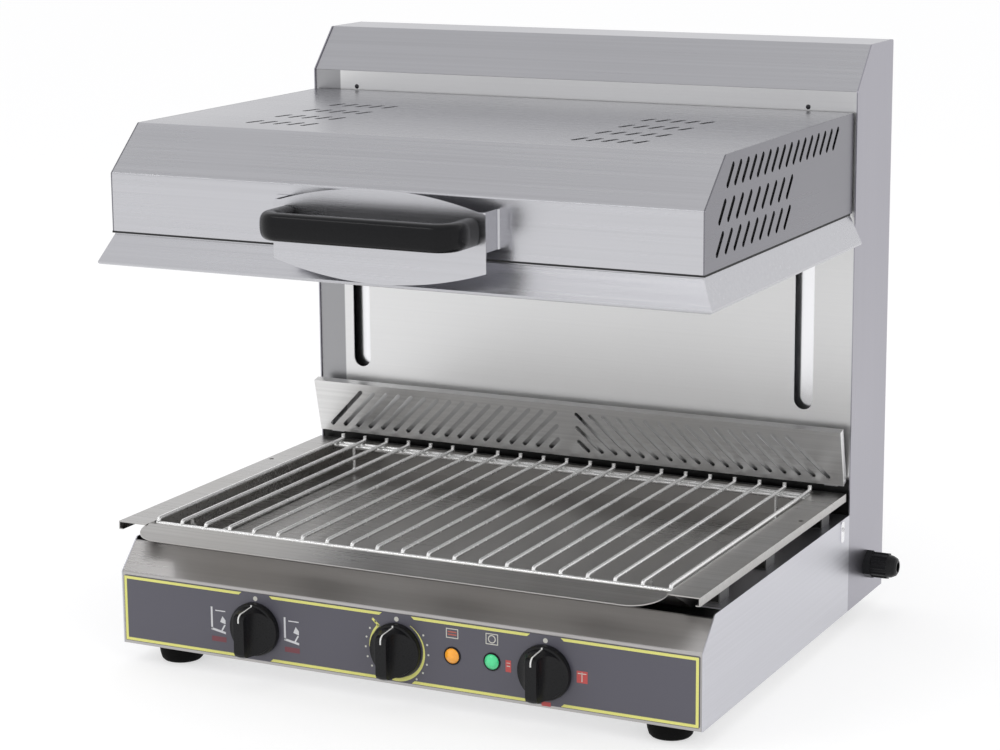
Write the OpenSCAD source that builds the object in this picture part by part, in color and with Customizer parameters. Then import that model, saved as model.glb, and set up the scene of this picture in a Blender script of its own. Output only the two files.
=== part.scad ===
// Rise-and-fall cheese melter: a heated hood that slides up and down a rear tower,
// over a drip tray with a wire rack. Millimetres, +Z up, front towards -Y, right is +X.
// The origin lies on the floor, under the middle of the whole outline, handle included.

/* [Body] */
// Width of the base and of the tower
body_w = 600; // [560:5:680]
// Depth from the front panel to the rear cover
body_d = 490; // [470:5:540]
// Thickness of the folded steel sheet
sheet_t = 1.2; // [1:0.1:1.5]
// Height of the four rubber feet
foot_h = 20; // [12:1:26]
// Diameter of a rubber foot
foot_dia = 44; // [36:1:50]
// Distance from the body's front to the middle of the front feet
foot_front = 34; // [24:1:44]
// Distance from the body's rear to the middle of the rear feet
foot_rear = 72; // [30:1:90]

/* [Base] */
// Height of the base's side plates
base_h = 99; // [96:1:115]
// Height of the upright front that carries the controls
fascia_h = 71; // [68:1:76]
// How far the sloped face above the controls leans back
slope_run = 27; // [24:1:34]
// Height of the heat shield inside the base, above the base's underside
shield_h = 80; // [78:1:84]

/* [Controls] */
// Distance between two neighbouring knobs
knob_pitch = 150; // [120:5:165]
// Height of the knobs' axes above the base's underside
knob_h = 34; // [32:1:38]
// Diameter of a knob
knob_dia = 51; // [44:1:56]
// How far a knob stands out from its skirt's back face
knob_depth = 30; // [24:1:34]
// Thickness of the grip ridge across a knob
ridge_t = 11; // [9:1:14]
// Radius of the shafts that the knobs turn
shaft_r = 3; // [2.5:0.1:3.5]
// Distance between the two pilot lamps
lamp_pitch = 40; // [30:1:50]
// Radius of a pilot lamp's lens
lamp_r = 7; // [6:0.5:9]
// Thickness of the control panel's overlay
panel_t = 1; // [0.6:0.1:1.5]
// Bare steel left round the overlay
panel_rim = 3; // [2:0.5:5]

/* [Tower] */
// Depth of the rear tower
tower_d = 106; // [100:1:120]
// Height of the tower above the base's underside
tower_h = 559; // [545:1:600]
// Height of the tower's sloped top face
cap_drop = 42; // [36:1:48]
// How far the sloped top face leans back
cap_run = 39; // [30:1:44]
// How far the front panel lies behind the side plates' edges
panel_inset = 1.5; // [1:0.1:3]
// Distance from the middle to each upright slot
slot_x = 249; // [246:1:252]
// Width of the upright slots
slot_w = 20; // [18:0.5:22]
// Distance from the middle to each guide rod
rod_x = 215; // [212:1:218]
// Radius of the guide rods
rod_r = 6; // [5:0.5:7]
// Radius from a pulley's axis to the middle of its cable
pulley_r = 20; // [18:0.5:21]
// Radius of the two lifting cables
cable_r = 1.5; // [1:0.1:1.8]
// Distance from the middle to each cable
cable_x = 150; // [120:5:160]
// Height of the counterweight bar
weight_h = 68; // [50:1:72]

/* [Hood] */
// Width of the hood
hood_w = 594; // [560:1:596]
// How far the raised hood's top lies below the fold of the tower's sloped top
hood_park = 20; // [14:1:26]
// Height of the hood
hood_h = 97; // [92:1:100]
// Height of the hood's upright front face
hood_front_h = 55; // [50:1:62]
// How far the hood's sloped face leans back
hood_run = 47; // [40:1:56]
// How far the hood's front lies behind the base's front
hood_setback = 3; // [0:1:8]
// Height of the lowered hood's skirt above the tray's rim
hood_low = 58; // [54:1:100]
// Height of the flared skirt under the hood
skirt_h = 28; // [22:1:32]
// How far the skirt flares out
skirt_flare = 12; // [8:1:15]
// Number of heating tubes
element_count = 4; // [3:1:5]
// Radius of a heating tube
element_r = 6; // [5:0.5:7]

/* [Handle] */
// Width of the plate behind the handle
plate_w = 212; // [200:1:240]
// Height of that plate in the middle
plate_h = 84; // [76:1:90]
// Height of that plate at its two ends
plate_end_h = 51; // [44:1:60]
// Distance from the hood's front to the plate's face
plate_standoff = 27; // [20:1:32]
// Overall width of the bow handle
handle_w = 200; // [180:1:210]
// How far the bow stands out from the plate
handle_reach = 50; // [42:1:60]
// Height of the grip's section
grip_h = 25; // [20:1:30]
// Depth of the grip's section
grip_d = 18; // [14:1:22]

/* [Tray and rack] */
// Height of the tray's rim above the base's underside
tray_rim_h = 122; // [118:1:126]
// Depth of the tray's well
tray_depth = 27; // [22:1:30]
// How far the tray's front ramp runs back
ramp_run = 50; // [46:1:60]
// Width of the tray's side flanges
tray_flange = 30; // [26:1:36]
// Height of the flanges' turned-down edge
tray_hem = 8; // [6:0.5:9]
// How far the front lip stands out beyond the well
lip_run = 36; // [30:1:40]
// How far the front lip slopes down
lip_fall = 5; // [3:1:8]
// Corner radius of the front lip
lip_r = 30; // [20:1:30]
// Radius of the rack's long wires
wire_r = 2; // [1.6:0.1:2.2]
// Number of long wires in the rack
wire_count = 21; // [15:2:23]
// How far the rack's two skids lie below the long wires
skid_drop = 27; // [20:1:28]

/* [Detection flap] */
// Height of the flap
flap_h = 58; // [50:1:62]
// Forward lean of the flap at rest, in degrees
flap_lean = 13; // [10:1:15]
// Distance between two neighbouring slots in the flap
flap_pitch = 15.25; // [13:0.25:18]
// Width of the flap's slots
flap_slot_w = 4.6; // [3:0.2:6]

/* [Hidden] */
$fn = 64;

// Colours, as the object shows them
steel = [0.73, 0.73, 0.74];
steel_dark = [0.55, 0.54, 0.55];
steel_bright = [0.85, 0.85, 0.86];
panel_colour = [0.27, 0.25, 0.31];
black = [0.07, 0.07, 0.08];

// Clearances
gap = 0.2;          // between two fixed sheet pieces
run_gap = 0.05;     // radial, between a shaft and its bore
weld_gap = 0.05;    // between two wires that are welded together
seat_gap = 0.3;     // under a loose piece
eps = 0.01;         // overshoot of a cutter
bend_r = 2.4;       // outer radius of a folded sheet's bends

// Main planes
half_w = body_w/2;
inner_w = half_w - sheet_t;
front_y = -body_d/2;
rear_y = body_d/2;
base_z = foot_h;
base_top = base_z + base_h;
fascia_top = base_z + fascia_h;
slope_y = front_y + slope_run;
tower_y = rear_y - tower_d;
tower_top = base_z + tower_h;
fold_z = tower_top - cap_drop;
panel_y = tower_y + panel_inset;
panel_back_y = panel_y + sheet_t;
cover_y = rear_y - sheet_t;
knob_z = base_z + knob_h;
lamp_x = knob_pitch/2 + 2;
lamp_z = knob_z + 2;
overlay_y = front_y - panel_t;
gland_reach = 32.5; // how far the gland stands out from the tower's side
screw_head = 2;     // how far a screw's head stands out

// Hood
hood_top = fold_z - hood_park;
hood_z = hood_top - hood_h;
hood_y = front_y + hood_setback;
hood_back_y = tower_y - 2;
hood_half = hood_w/2;
back_plate_y = hood_back_y - sheet_t;
skirt_in = sheet_t + seat_gap;
skirt_gap = 2;
pan_half = hood_half - 27;
pan_z = hood_z + 2;
pan_top = pan_z + 24;
pan_y0 = hood_y + 16;
pan_y1 = back_plate_y - 8;
element_z = hood_z + 14;
board_t = 12;

// Lift
arm_t = 12;
arm_h = 84;
hood_travel = hood_z - skirt_gap - skirt_h - hood_low - (base_z + tray_rim_h);
arm_z = hood_z + 6;
arm_top = arm_z + arm_h;
carriage_y = panel_back_y + 3;
carriage_t = 4;
rod_setback = 36;   // from the tower's front to the guide rods
rod_y = tower_y + rod_setback;
bush_r = rod_r + 3;
housing_r = rod_r + 7;
shelf_t = 2;
shelf_y0 = panel_back_y + seat_gap;
shelf_y1 = cover_y - sheet_t - 0.5;
upper_shelf_z = arm_top + 10;
shelf_drop = 30;    // from the lowered arms down to the lower shelf
slot_drop = 15;     // from the lowered arms down to the slots' ends
lower_shelf_z = arm_z - hood_travel - shelf_drop;
slot_bottom = arm_z - hood_travel - slot_drop;
slot_top = arm_top + 5;
collar_h = 5;
pulley_y = rod_y + 12;
pulley_rim_r = pulley_r + 3;
pulley_w = 10;
axle_r = 4;
pulley_z = upper_shelf_z + shelf_t + pulley_rim_r + 4;
cable_front_y = pulley_y - pulley_r;
cable_rear_y = pulley_y + pulley_r;
weight_y0 = pulley_y + 9;
weight_y1 = shelf_y1 - 8;
weight_half = rod_x + 14;
weight_z = lower_shelf_z + shelf_t + 10;
lug = 12;
front_lug_z = arm_top - 22;

// Tray and rack
rim_z = base_z + tray_rim_h;
floor_z = rim_z - tray_depth;
tray_t = 1;
tray_half = half_w - 2;
well_half = tray_half - tray_flange;
tray_front = front_y + 2;
tray_rear = tower_y - 6;
well_rear = tray_rear - 6;
cross_r = wire_r + 0.25;
skid_r = wire_r - 0.2;
skid_z = floor_z + seat_gap + skid_r;
wire_z = skid_z + skid_drop;
rack_half = well_half - 4;
rack_front = tray_front + 11;
rack_rear = well_rear - wire_r - 2.5;
wire_pitch = 2*rack_half/(wire_count - 1);
skid_front = tray_front + ramp_run + 4;
rear_hook = 5;      // height of the long wires' upturned rear ends
wire_bend = 2.5;    // centre radius of the long wires' bent ends

// Middle of the whole outline, from the gland to the skirt and from the grip to the rear
plate_y = hood_y - plate_standoff;
outline_x = (half_w + gland_reach - hood_half - skirt_flare)/2;
outline_y = (plate_y - handle_reach + rear_y + screw_head)/2;

// Flap
pin_r = 2;
pin_y = tower_y - 3.5;
pin_z = rim_z + 13;
flap_half = half_w - 4;
flap_front = 5.5;
flap_foot = 4;
tab_z = 32;
tab_reach = 24;

// ---------- helpers ----------

function unit(v) = v/norm(v);
function left_of(v) = [-v[1], v[0]];
function edge_normal(p, i) = left_of(unit(p[i + 1] - p[i]));
function mitre(a, b) = (a + b)/(1 + a*b);
function shifted(p, d) = [
    for (i = [0:len(p) - 1])
        p[i] + d*(i == 0 ? edge_normal(p, 0)
            : i == len(p) - 1 ? edge_normal(p, i - 1)
            : mitre(edge_normal(p, i - 1), edge_normal(p, i)))
];
function reversed(p) = [for (i = [len(p) - 1:-1:0]) p[i]];
function turned(v, a) = [v[0]*cos(a) - v[1]*sin(a), v[0]*sin(a) + v[1]*cos(a)];
function turn(p, i) = let (a = unit(p[i] - p[i - 1]), c = unit(p[i + 1] - p[i]))
    atan2(a[0]*c[1] - a[1]*c[0], a*c);
function trim(p, i, b) = i == 0 || i == len(p) - 1 ? 0 : b*tan(abs(turn(p, i))/2);

// The points of the bend at point i, of radius b, in n steps
function bend(p, i, b, n) = let (
        a = unit(p[i] - p[i - 1]), t = turn(p, i),
        start = p[i] - trim(p, i, b)*a, arm = -sign(t)*b*left_of(a)
    ) [for (k = [0:n]) start - arm + turned(arm, t*k/n)];

// A path whose inner corners are bends of radius b
function bent(p, b = bend_r, n = 3) = [
    for (i = [0:len(p) - 1])
        each i == 0 || i == len(p) - 1 ? [p[i]] : bend(p, i, b, n)
];

// A folded sheet seen from its end: the path, and the same path d to its left
module fold(path, d) {
    polygon(concat(path, reversed(shifted(path, d))));
}

// Extrude a YZ profile along X, centred
module along_x(length) {
    rotate([90, 0, 90])
        translate([0, 0, -length/2])
            linear_extrude(length) children();
}

// Extrude an XZ profile towards +Y from y = 0
module along_y(length) {
    translate([0, length, 0])
        rotate([90, 0, 0])
            linear_extrude(length) children();
}

module both_sides() {
    children();
    mirror([1, 0, 0]) children();
}

module box(x0, x1, y0, y1, z0, z1) {
    translate([x0, y0, z0]) cube([x1 - x0, y1 - y0, z1 - z0]);
}

// A slot of length l between its round ends' outer points, along 2D x
module slot_shape(l, w) {
    square([l - w, w], center = true);
    for (s = [-1, 1]) translate([s*(l - w)/2, 0]) circle(d = w);
}

module rounded_shape(w, h, r) {
    square([w - 2*r, h], center = true);
    square([w, h - 2*r], center = true);
    for (sx = [-1, 1], sy = [-1, 1])
        translate([sx*(w/2 - r), sy*(h/2 - r)]) circle(r = r);
}

// A rod along Y, from y = 0 backwards
module rod_y(r, length) {
    rotate([-90, 0, 0]) cylinder(r = r, h = length);
}

// A rod along X, centred on x = 0
module rod_x_axis(r, length) {
    rotate([0, 90, 0]) cylinder(r = r, h = length, center = true);
}

// ---------- base ----------

vent_l = 60;
vent_w = 5;

module bottom_vents() {
    for (i = [0:5], s = [-1, 1])
        translate([s*110, front_y + 110 + 22*i, 0])
            linear_extrude(4*sheet_t + base_z) slot_shape(vent_l, vent_w);
}

foot_x = half_w - 44;
foot_stud_r = 4;

module foot_places() {
    for (sx = [-1, 1], y = [front_y + foot_front, rear_y - foot_rear])
        translate([sx*foot_x, y, 0]) children();
}

module base_bottom() {
    w = inner_w - gap;
    up = 12;
    y0 = front_y + sheet_t + gap;
    color(steel_dark) difference() {
        union() {
            box(-w, w, y0, rear_y, base_z, base_z + sheet_t);
            box(-w, w, y0, y0 + sheet_t, base_z, base_z + up);
            box(-w, w, rear_y - sheet_t, rear_y, base_z, base_z + up);
            both_sides() box(w - sheet_t, w, y0, rear_y, base_z, base_z + up);
        }
        bottom_vents();
        foot_places() cylinder(r = foot_stud_r + gap, h = base_z + 4*sheet_t);
    }
}

module foot_form() {
    r = foot_dia/2;
    color(black) rotate_extrude($fn = 72)
        polygon([
            [0, 0], [r - 6, 0], [r - 4, 0.7], [r - 2.2, 2.6], [r - 0.9, foot_h*0.35],
            [r - 0.2, foot_h*0.6], [r, foot_h*0.8], [r, foot_h - 1], [r - 1, foot_h],
            [foot_stud_r, foot_h], [foot_stud_r, foot_h + sheet_t],
            [foot_stud_r + 3, foot_h + sheet_t], [foot_stud_r + 3, foot_h + sheet_t + 4],
            [0, foot_h + sheet_t + 4]
        ]);
}

module feet() {
    foot_places() foot_form();
}

module base_side() {
    back = tower_y - gap;
    color(steel) union() {
        translate([half_w - sheet_t/2, 0, 0]) along_x(sheet_t)
            polygon(concat(
                bent([[front_y, base_z], [front_y, fascia_top], [slope_y, base_top], [back, base_top]]),
                [[back, base_z]]
            ));
        box(inner_w - 22, half_w - sheet_t/2, slope_y + 18, back, base_top - sheet_t, base_top);
    }
}

module base_side_right() { base_side(); }
module base_side_left() { mirror([1, 0, 0]) base_side(); }

module control_places() {
    for (i = [-1:1]) translate([i*knob_pitch, 0, knob_z]) children();
}

module lamp_places() {
    for (i = [0, 1]) translate([lamp_x - lamp_pitch/2 + i*lamp_pitch, 0, lamp_z]) children();
}

bush_outer_r = shaft_r + 2;
lamp_stem_r = lamp_r - 2;

module base_front() {
    color(steel) difference() {
        along_x(2*(inner_w - gap)) fold(bent([
            [front_y, base_z], [front_y, fascia_top], [slope_y, base_top],
            [slope_y + 1.5, base_top - 12]
        ], bend_r), -sheet_t);
        translate([0, front_y - 5, 0]) {
            control_places() rod_y(bush_outer_r + gap, 10);
            lamp_places() rod_y(lamp_stem_r + gap, 10);
        }
    }
}

module control_panel() {
    w = half_w - panel_rim;
    color(panel_colour) difference() {
        translate([0, overlay_y, 0]) along_y(panel_t - 0.05)
            translate([0, base_z + fascia_h/2])
                rounded_shape(2*w, fascia_h - 2*panel_rim, 1.5);
        translate([0, front_y - 5, 0]) {
            control_places() rod_y(bush_outer_r + gap, 10);
            lamp_places() rod_y(lamp_stem_r + gap, 10);
        }
    }
}

module heat_shield() {
    z = base_z + shield_h;
    w = inner_w - gap;
    color(steel_dark) along_x(2*w) fold([
        [slope_y + 4, z - 14], [slope_y + 4, z], [tower_y - 1, z], [tower_y - 1, z - 14]
    ], -sheet_t);
}

support_l = 22;
hem_return = 3;

// Bent posts on the base's side plates that carry the tray by its flanges
module tray_supports() {
    x1 = tray_half - hem_return - tray_t - 2;
    top = rim_z - tray_t - seat_gap;
    color(steel_dark) both_sides()
        for (y = [slope_y + 30, (front_y + tower_y)/2 - 20, tower_y - 60])
            translate([0, y, 0]) along_y(support_l)
                fold([[x1 - 13, base_top], [x1, base_top], [x1, top], [x1 - 13, top]], sheet_t);
}

// ---------- controls ----------

module switch_form(w, h, d) {
    y0 = front_y + sheet_t;
    color([0.16, 0.16, 0.17]) difference() {
        union() {
            translate([0, y0 + gap, knob_z]) rotate([-90, 0, 0])
                linear_extrude(d) rounded_shape(w, h, 3);
            translate([0, overlay_y - 0.6, knob_z]) rod_y(bush_outer_r, panel_t + 4);
        }
        translate([0, front_y - 10, knob_z]) rod_y(shaft_r + run_gap, 34);
    }
}

switch_w = 42;

module selector_switch() {
    translate([-knob_pitch, 0, 0]) {
        switch_form(switch_w, switch_w, 34);
        color(steel_bright) for (s = [-1, 1], i = [0:2])
            box(s*(switch_w/2 - 8) - 3, s*(switch_w/2 - 8) + 3,
                front_y + sheet_t + gap + 34, front_y + sheet_t + gap + 42,
                knob_z - 13 + 12*i, knob_z - 12 + 12*i);
    }
}

module power_regulator() {
    switch_form(switch_w + 8, switch_w + 2, 40);
    color(steel_bright) for (s = [-1, 1], i = [0, 1])
        box(s*16 - 3, s*16 + 3, front_y + sheet_t + gap + 40, front_y + sheet_t + gap + 48,
            knob_z - 8 + 15*i, knob_z - 7 + 15*i);
}

module zone_switch() {
    translate([knob_pitch, 0, 0]) {
        switch_form(switch_w, switch_w, 48);
        color(steel_bright) for (s = [-1, 1], i = [0:2])
            box(s*(switch_w/2 - 8) - 3, s*(switch_w/2 - 8) + 3,
                front_y + sheet_t + gap + 48, front_y + sheet_t + gap + 56,
                knob_z - 13 + 12*i, knob_z - 12 + 12*i);
    }
}

module shaft(x) {
    front = overlay_y - knob_depth + 10;
    color(steel_bright)
        translate([x, front, knob_z]) rod_y(shaft_r, front_y + 22 - front);
}

module selector_shaft() { shaft(-knob_pitch); }
module power_shaft() { shaft(0); }
module zone_shaft() { shaft(knob_pitch); }

// The knob, its axis along +Z and its back face at z = 0
module knob_form() {
    r = knob_dia/2;
    skirt = 7;
    scoop_r = 22;
    edge_r = 2.5;
    difference() {
        rotate_extrude($fn = 96) {
            polygon([
                [0, 0], [r, 0], [r, skirt - edge_r], [r - 0.8, skirt - 0.7], [r - edge_r, skirt],
                [r - 4.2, knob_depth - 4], [r - 6, knob_depth - 1.2], [r - 8.5, knob_depth],
                [0, knob_depth]
            ]);
        }
        both_sides() {
            translate([ridge_t/2 + scoop_r, 0, skirt + scoop_r - 2]) rotate([90, 0, 0])
                cylinder(r = scoop_r, h = 2*knob_dia, center = true, $fn = 96);
            box(ridge_t/2 + scoop_r, knob_dia, -knob_dia, knob_dia, skirt - 2, 2*knob_depth);
            box(ridge_t/2, knob_dia, -knob_dia, knob_dia, skirt + scoop_r - 2, 2*knob_depth);
        }
        // The ridge slopes down to the pointer's end
        translate([0, r - 7, knob_depth]) rotate([-38, 0, 0])
            translate([-knob_dia, -1, 0]) cube([2*knob_dia, knob_dia, knob_depth]);
        translate([0, 0, -eps]) cylinder(r = shaft_r + 0.02, h = knob_depth - 9);
        // Hollow behind the skirt, round the switch's bush
        translate([0, 0, -eps]) cylinder(r = bush_outer_r + 1.5, h = 3);
    }
}

module knob(x) {
    color(black) translate([x, overlay_y - 0.8, knob_z]) rotate([90, 0, 0]) knob_form();
}

module selector_knob() { knob(-knob_pitch); }
module power_knob() { knob(0); }
module zone_knob() { knob(knob_pitch); }

module pilot_lamp(i, tint) {
    stem = 22;
    dome = 3.5;
    sphere_r = (lamp_r*lamp_r + dome*dome)/(2*dome);
    color(tint) translate([lamp_x - lamp_pitch/2 + i*lamp_pitch, overlay_y, lamp_z])
        rotate([90, 0, 0]) {
            intersection() {
                translate([0, 0, dome - sphere_r + 1]) sphere(r = sphere_r, $fn = 96);
                translate([0, 0, 1]) cylinder(r = lamp_r, h = 2*dome);
            }
            cylinder(r = lamp_r, h = 1 + eps);
            translate([0, 0, -stem]) cylinder(r = lamp_stem_r, h = stem + eps);
        }
}

module pilot_lamp_orange() { pilot_lamp(0, [1, 0.55, 0.05]); }
module pilot_lamp_green() { pilot_lamp(1, [0.15, 0.8, 0.4]); }

gland_y = rear_y - 48;
gland_z = base_z + 34;
gland_bore_r = 5;
gland_thread_r = 9;

module cable_gland() {
    ribs = 12;
    cap_r = 12;
    nut_r = 13;
    nose = 10.5;
    color(black) translate([half_w, gland_y, gland_z]) rotate([0, 90, 0]) difference() {
        union() {
            // Lock nut inside, threaded neck, outer hexagon
            translate([0, 0, -sheet_t - 5]) cylinder(r = nut_r, h = 5 - 0.1, $fn = 6);
            translate([0, 0, -sheet_t - 8]) cylinder(r = gland_thread_r, h = sheet_t + 10);
            translate([0, 0, 0.1]) cylinder(r = nut_r + 1.5, h = 7, $fn = 6);
            // Ribbed cap with a rounded nose
            translate([0, 0, 7]) linear_extrude(16) {
                circle(r = cap_r);
                for (i = [0:ribs - 1]) rotate([0, 0, i*360/ribs]) translate([cap_r, 0]) circle(r = 1.2);
            }
            translate([0, 0, gland_reach - nose]) rotate_extrude($fn = 72) polygon([
                [0, 0], [cap_r - 0.3, 0], [cap_r - 0.3, 1], [cap_r - 1, 5], [cap_r - 3, 9],
                [cap_r - 5.5, nose], [0, nose]
            ]);
        }
        translate([0, 0, -20]) cylinder(r = gland_bore_r, h = 60);
    }
}

module terminal_block() {
    x0 = half_w - 110;
    y0 = rear_y - 62;
    z0 = base_z + sheet_t + 0.1;
    ways = 5;
    way_w = 11;
    color([0.9, 0.89, 0.84]) difference() {
        union() {
            box(x0, x0 + ways*way_w, y0, y0 + 26, z0, z0 + 10);
            for (i = [0:ways - 1])
                box(x0 + i*way_w + 1, x0 + (i + 1)*way_w - 1, y0 + 4, y0 + 22, z0 + 9, z0 + 20);
        }
        for (i = [0:ways - 1]) {
            translate([x0 + (i + 0.5)*way_w, y0 - 1, z0 + 7]) rod_y(2.2, 28);
            for (y = [9, 17]) translate([x0 + (i + 0.5)*way_w, y0 + y, z0 + 12])
                cylinder(r = 2.4, h = 10);
        }
    }
}

// ---------- tower ----------

module tower_side() {
    flange = 16;
    color(steel) union() {
        translate([half_w - sheet_t/2, 0, 0]) along_x(sheet_t)
            polygon(bent([
                [tower_y, base_z], [tower_y, fold_z], [tower_y + cap_run, tower_top],
                [rear_y, tower_top], [rear_y, base_z]
            ]));
        box(inner_w - flange, half_w - sheet_t/2, cover_y - sheet_t - gap, cover_y - gap,
            base_z + 16, tower_top - 18);
    }
}

screw_low = 60;     // from the base's underside to the lowest screws
screw_top = 50;     // from the tower's top to the highest screws
screw_rows = 4;
screw_heights = [
    for (i = [0:screw_rows - 1])
        base_z + screw_low + i*(tower_h - screw_low - screw_top)/(screw_rows - 1)
];
screw_x = inner_w - 8;
screw_r = 2;

module screw_places() {
    both_sides() for (z = screw_heights) translate([screw_x, 0, z]) children();
}

module tower_side_right() {
    color(steel) difference() {
        tower_side();
        translate([half_w - 5, gland_y, gland_z]) rotate([0, 90, 0])
            cylinder(r = gland_thread_r + gap, h = 10);
        screw_places() translate([0, cover_y - 8, 0]) rod_y(screw_r + 0.1, 12);
    }
}

module tower_side_left() {
    color(steel) difference() {
        mirror([1, 0, 0]) tower_side();
        screw_places() translate([0, cover_y - 8, 0]) rod_y(screw_r + 0.1, 12);
    }
}

window_z = pin_z + 35.5;

module tower_front_panel() {
    w = inner_w - gap;
    z0 = base_z + 12 + gap;
    color(steel) difference() {
        // The upper edge slants like the cap's edge above it
        along_x(2*w) polygon([
            [panel_y, z0], [panel_back_y, z0],
            [panel_back_y, fold_z - gap - sheet_t*cap_run/cap_drop], [panel_y, fold_z - gap]
        ]);
        both_sides() translate([slot_x, panel_y - 4, (slot_bottom + slot_top)/2])
            along_y(10) rotate([0, 0, 90]) slot_shape(slot_top - slot_bottom, slot_w);
        box(-9, 9, panel_y - 4, panel_back_y + 4, window_z - 7, window_z + 7);
    }
}

module tower_cap() {
    color(steel) along_x(2*(inner_w - gap)) fold(bent([
        [panel_y, fold_z], [panel_y + cap_run, tower_top],
        [rear_y, tower_top], [rear_y, tower_top - 14]
    ]), -sheet_t);
}

module rear_cover() {
    w = inner_w - gap;
    rows = 9;
    color(steel) difference() {
        box(-w, w, cover_y, rear_y, base_z + 12 + gap, tower_top - 14 - gap);
        for (s = [-1, 1], i = [0:rows - 1], z = [base_z + 40, tower_top - 200])
            translate([s*120, cover_y - 4, z + 14*i]) along_y(10) slot_shape(vent_l, vent_w);
        screw_places() translate([0, cover_y - 4, 0]) rod_y(screw_r + 0.1, 12);
    }
}

module cover_screws() {
    color(steel_bright) screw_places() {
        translate([0, cover_y - sheet_t - 5, 0]) rod_y(screw_r, 5 + 2*sheet_t + eps);
        translate([0, rear_y, 0]) rotate([-90, 0, 0]) cylinder(r1 = 3.8, r2 = 2.6, h = screw_head);
    }
}

module shelf_form(z) {
    w = inner_w - gap;
    up = 16;
    difference() {
        union() {
            box(-w, w, shelf_y0, shelf_y1, z, z + shelf_t);
            both_sides() box(w - shelf_t, w, shelf_y0, shelf_y1, z, z + up);
        }
        both_sides() translate([rod_x, rod_y, z - 5]) cylinder(r = rod_r - 1 + gap, h = 12);
    }
}

module lower_shelf() {
    color(steel_dark) shelf_form(lower_shelf_z);
}

cheek_t = 3;
cheek_x = pulley_w/2 + 1.5;

module upper_shelf() {
    top = pulley_z + axle_r + 7;
    color(steel_dark) difference() {
        union() {
            shelf_form(upper_shelf_z);
            both_sides() for (s = [-1, 1])
                translate([cable_x + s*(cheek_x + cheek_t/2), pulley_y, 0]) along_x(cheek_t) union() {
                    translate([-11, upper_shelf_z + 1]) square([22, pulley_z - upper_shelf_z - 1]);
                    translate([0, pulley_z]) circle(r = 11);
                }
        }
        both_sides() {
            for (y = [cable_front_y, cable_rear_y])
                translate([cable_x, y, upper_shelf_z - 5]) cylinder(r = cable_r + 2.5, h = 12);
            translate([cable_x, pulley_y, pulley_z]) rod_x_axis(axle_r + run_gap, 40);
        }
    }
}

module guide_rods() {
    z0 = lower_shelf_z + shelf_t;
    z1 = upper_shelf_z;
    neck = rod_r - 1;
    color(steel_bright) both_sides() translate([rod_x, rod_y, 0]) rotate_extrude($fn = 96)
        polygon([
            [0, z0 - 6], [neck, z0 - 6], [neck, z0 + 0.1], [rod_r + 3, z0 + 0.1],
            [rod_r + 3, z0 + collar_h], [rod_r, z0 + collar_h], [rod_r, z1 - collar_h],
            [rod_r + 3, z1 - collar_h], [rod_r + 3, z1 - 0.1], [neck, z1 - 0.1],
            [neck, z1 + 6], [0, z1 + 6]
        ]);
}

module slot_backings() {
    x = slot_x;
    half = slot_w/2 + 3;
    y = carriage_y + carriage_t + 2.5;
    color(steel_bright) both_sides()
        box(x - half, x + half, y, y + sheet_t, lower_shelf_z + shelf_t + 0.1, upper_shelf_z - 0.1);
}

module counterweight_guides() {
    x = weight_half + 0.5;
    color(steel_dark) both_sides()
        translate([0, 0, lower_shelf_z + shelf_t + 0.1])
            linear_extrude(upper_shelf_z - lower_shelf_z - shelf_t - 0.2)
                fold([
                    [x - 10, weight_y0 - 1], [x, weight_y0 - 1],
                    [x, weight_y1 + 1], [x - 10, weight_y1 + 1]
                ], -1.5);
}

module cable_wraps() {
    color(steel_bright) both_sides()
        translate([cable_x, pulley_y, pulley_z]) rotate([90, 0, 90])
            rotate_extrude(angle = 180, $fn = 72)
                translate([pulley_r, 0]) circle(r = cable_r, $fn = 24);
}

module cable_run(y, z0) {
    color(steel_bright) both_sides()
        translate([cable_x, y, z0]) cylinder(r = cable_r, h = pulley_z - z0, $fn = 24);
}

module cables_front() { cable_run(cable_front_y, front_lug_z + lug); }
module cables_rear() { cable_run(cable_rear_y, weight_z + weight_h + lug); }

module pulleys() {
    groove = cable_r + 0.3;
    w = pulley_w/2;
    color([0.2, 0.2, 0.22]) both_sides()
        translate([cable_x, pulley_y, pulley_z]) rotate([0, 90, 0])
            difference() {
                rotate_extrude($fn = 96) polygon([
                    [axle_r, -w], [axle_r + 5, -w], [pulley_r - 6, -w + 2], [pulley_rim_r, -w + 1],
                    [pulley_rim_r, -w + 2], [pulley_r - 0.6, -groove], [pulley_r - groove, -groove],
                    [pulley_r - groove, groove], [pulley_r - 0.6, groove], [pulley_rim_r, w - 2],
                    [pulley_rim_r, w - 1], [pulley_r - 6, w - 2], [axle_r + 5, w], [axle_r, w]
                ]);
            }
}

module pulley_shaft() {
    half = cable_x + cheek_x + cheek_t + 4;
    color(steel_bright) translate([0, pulley_y, pulley_z]) rod_x_axis(axle_r - 0.01, 2*half);
}

module counterweight() {
    z1 = weight_z + weight_h;
    c = 2;
    color([0.35, 0.36, 0.38]) difference() {
        union() {
            along_x(2*weight_half) polygon([
                [weight_y0 + c, weight_z], [weight_y1 - c, weight_z], [weight_y1, weight_z + c],
                [weight_y1, z1 - c], [weight_y1 - c, z1], [weight_y0 + c, z1],
                [weight_y0, z1 - c], [weight_y0, weight_z + c]
            ]);
            both_sides() translate([cable_x, cable_rear_y, z1 - 1]) cylinder(r = 5, h = lug + 1);
        }
        both_sides() translate([80, 0, weight_z + weight_h/2]) translate([0, weight_y0 - 5, 0])
            rod_y(4, weight_y1 - weight_y0 + 10);
    }
}

// ---------- detection flap ----------

flap_t = 1.2;
slot_edge = 10;
slot_rise = 43;
slot_foot = 3;

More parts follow.
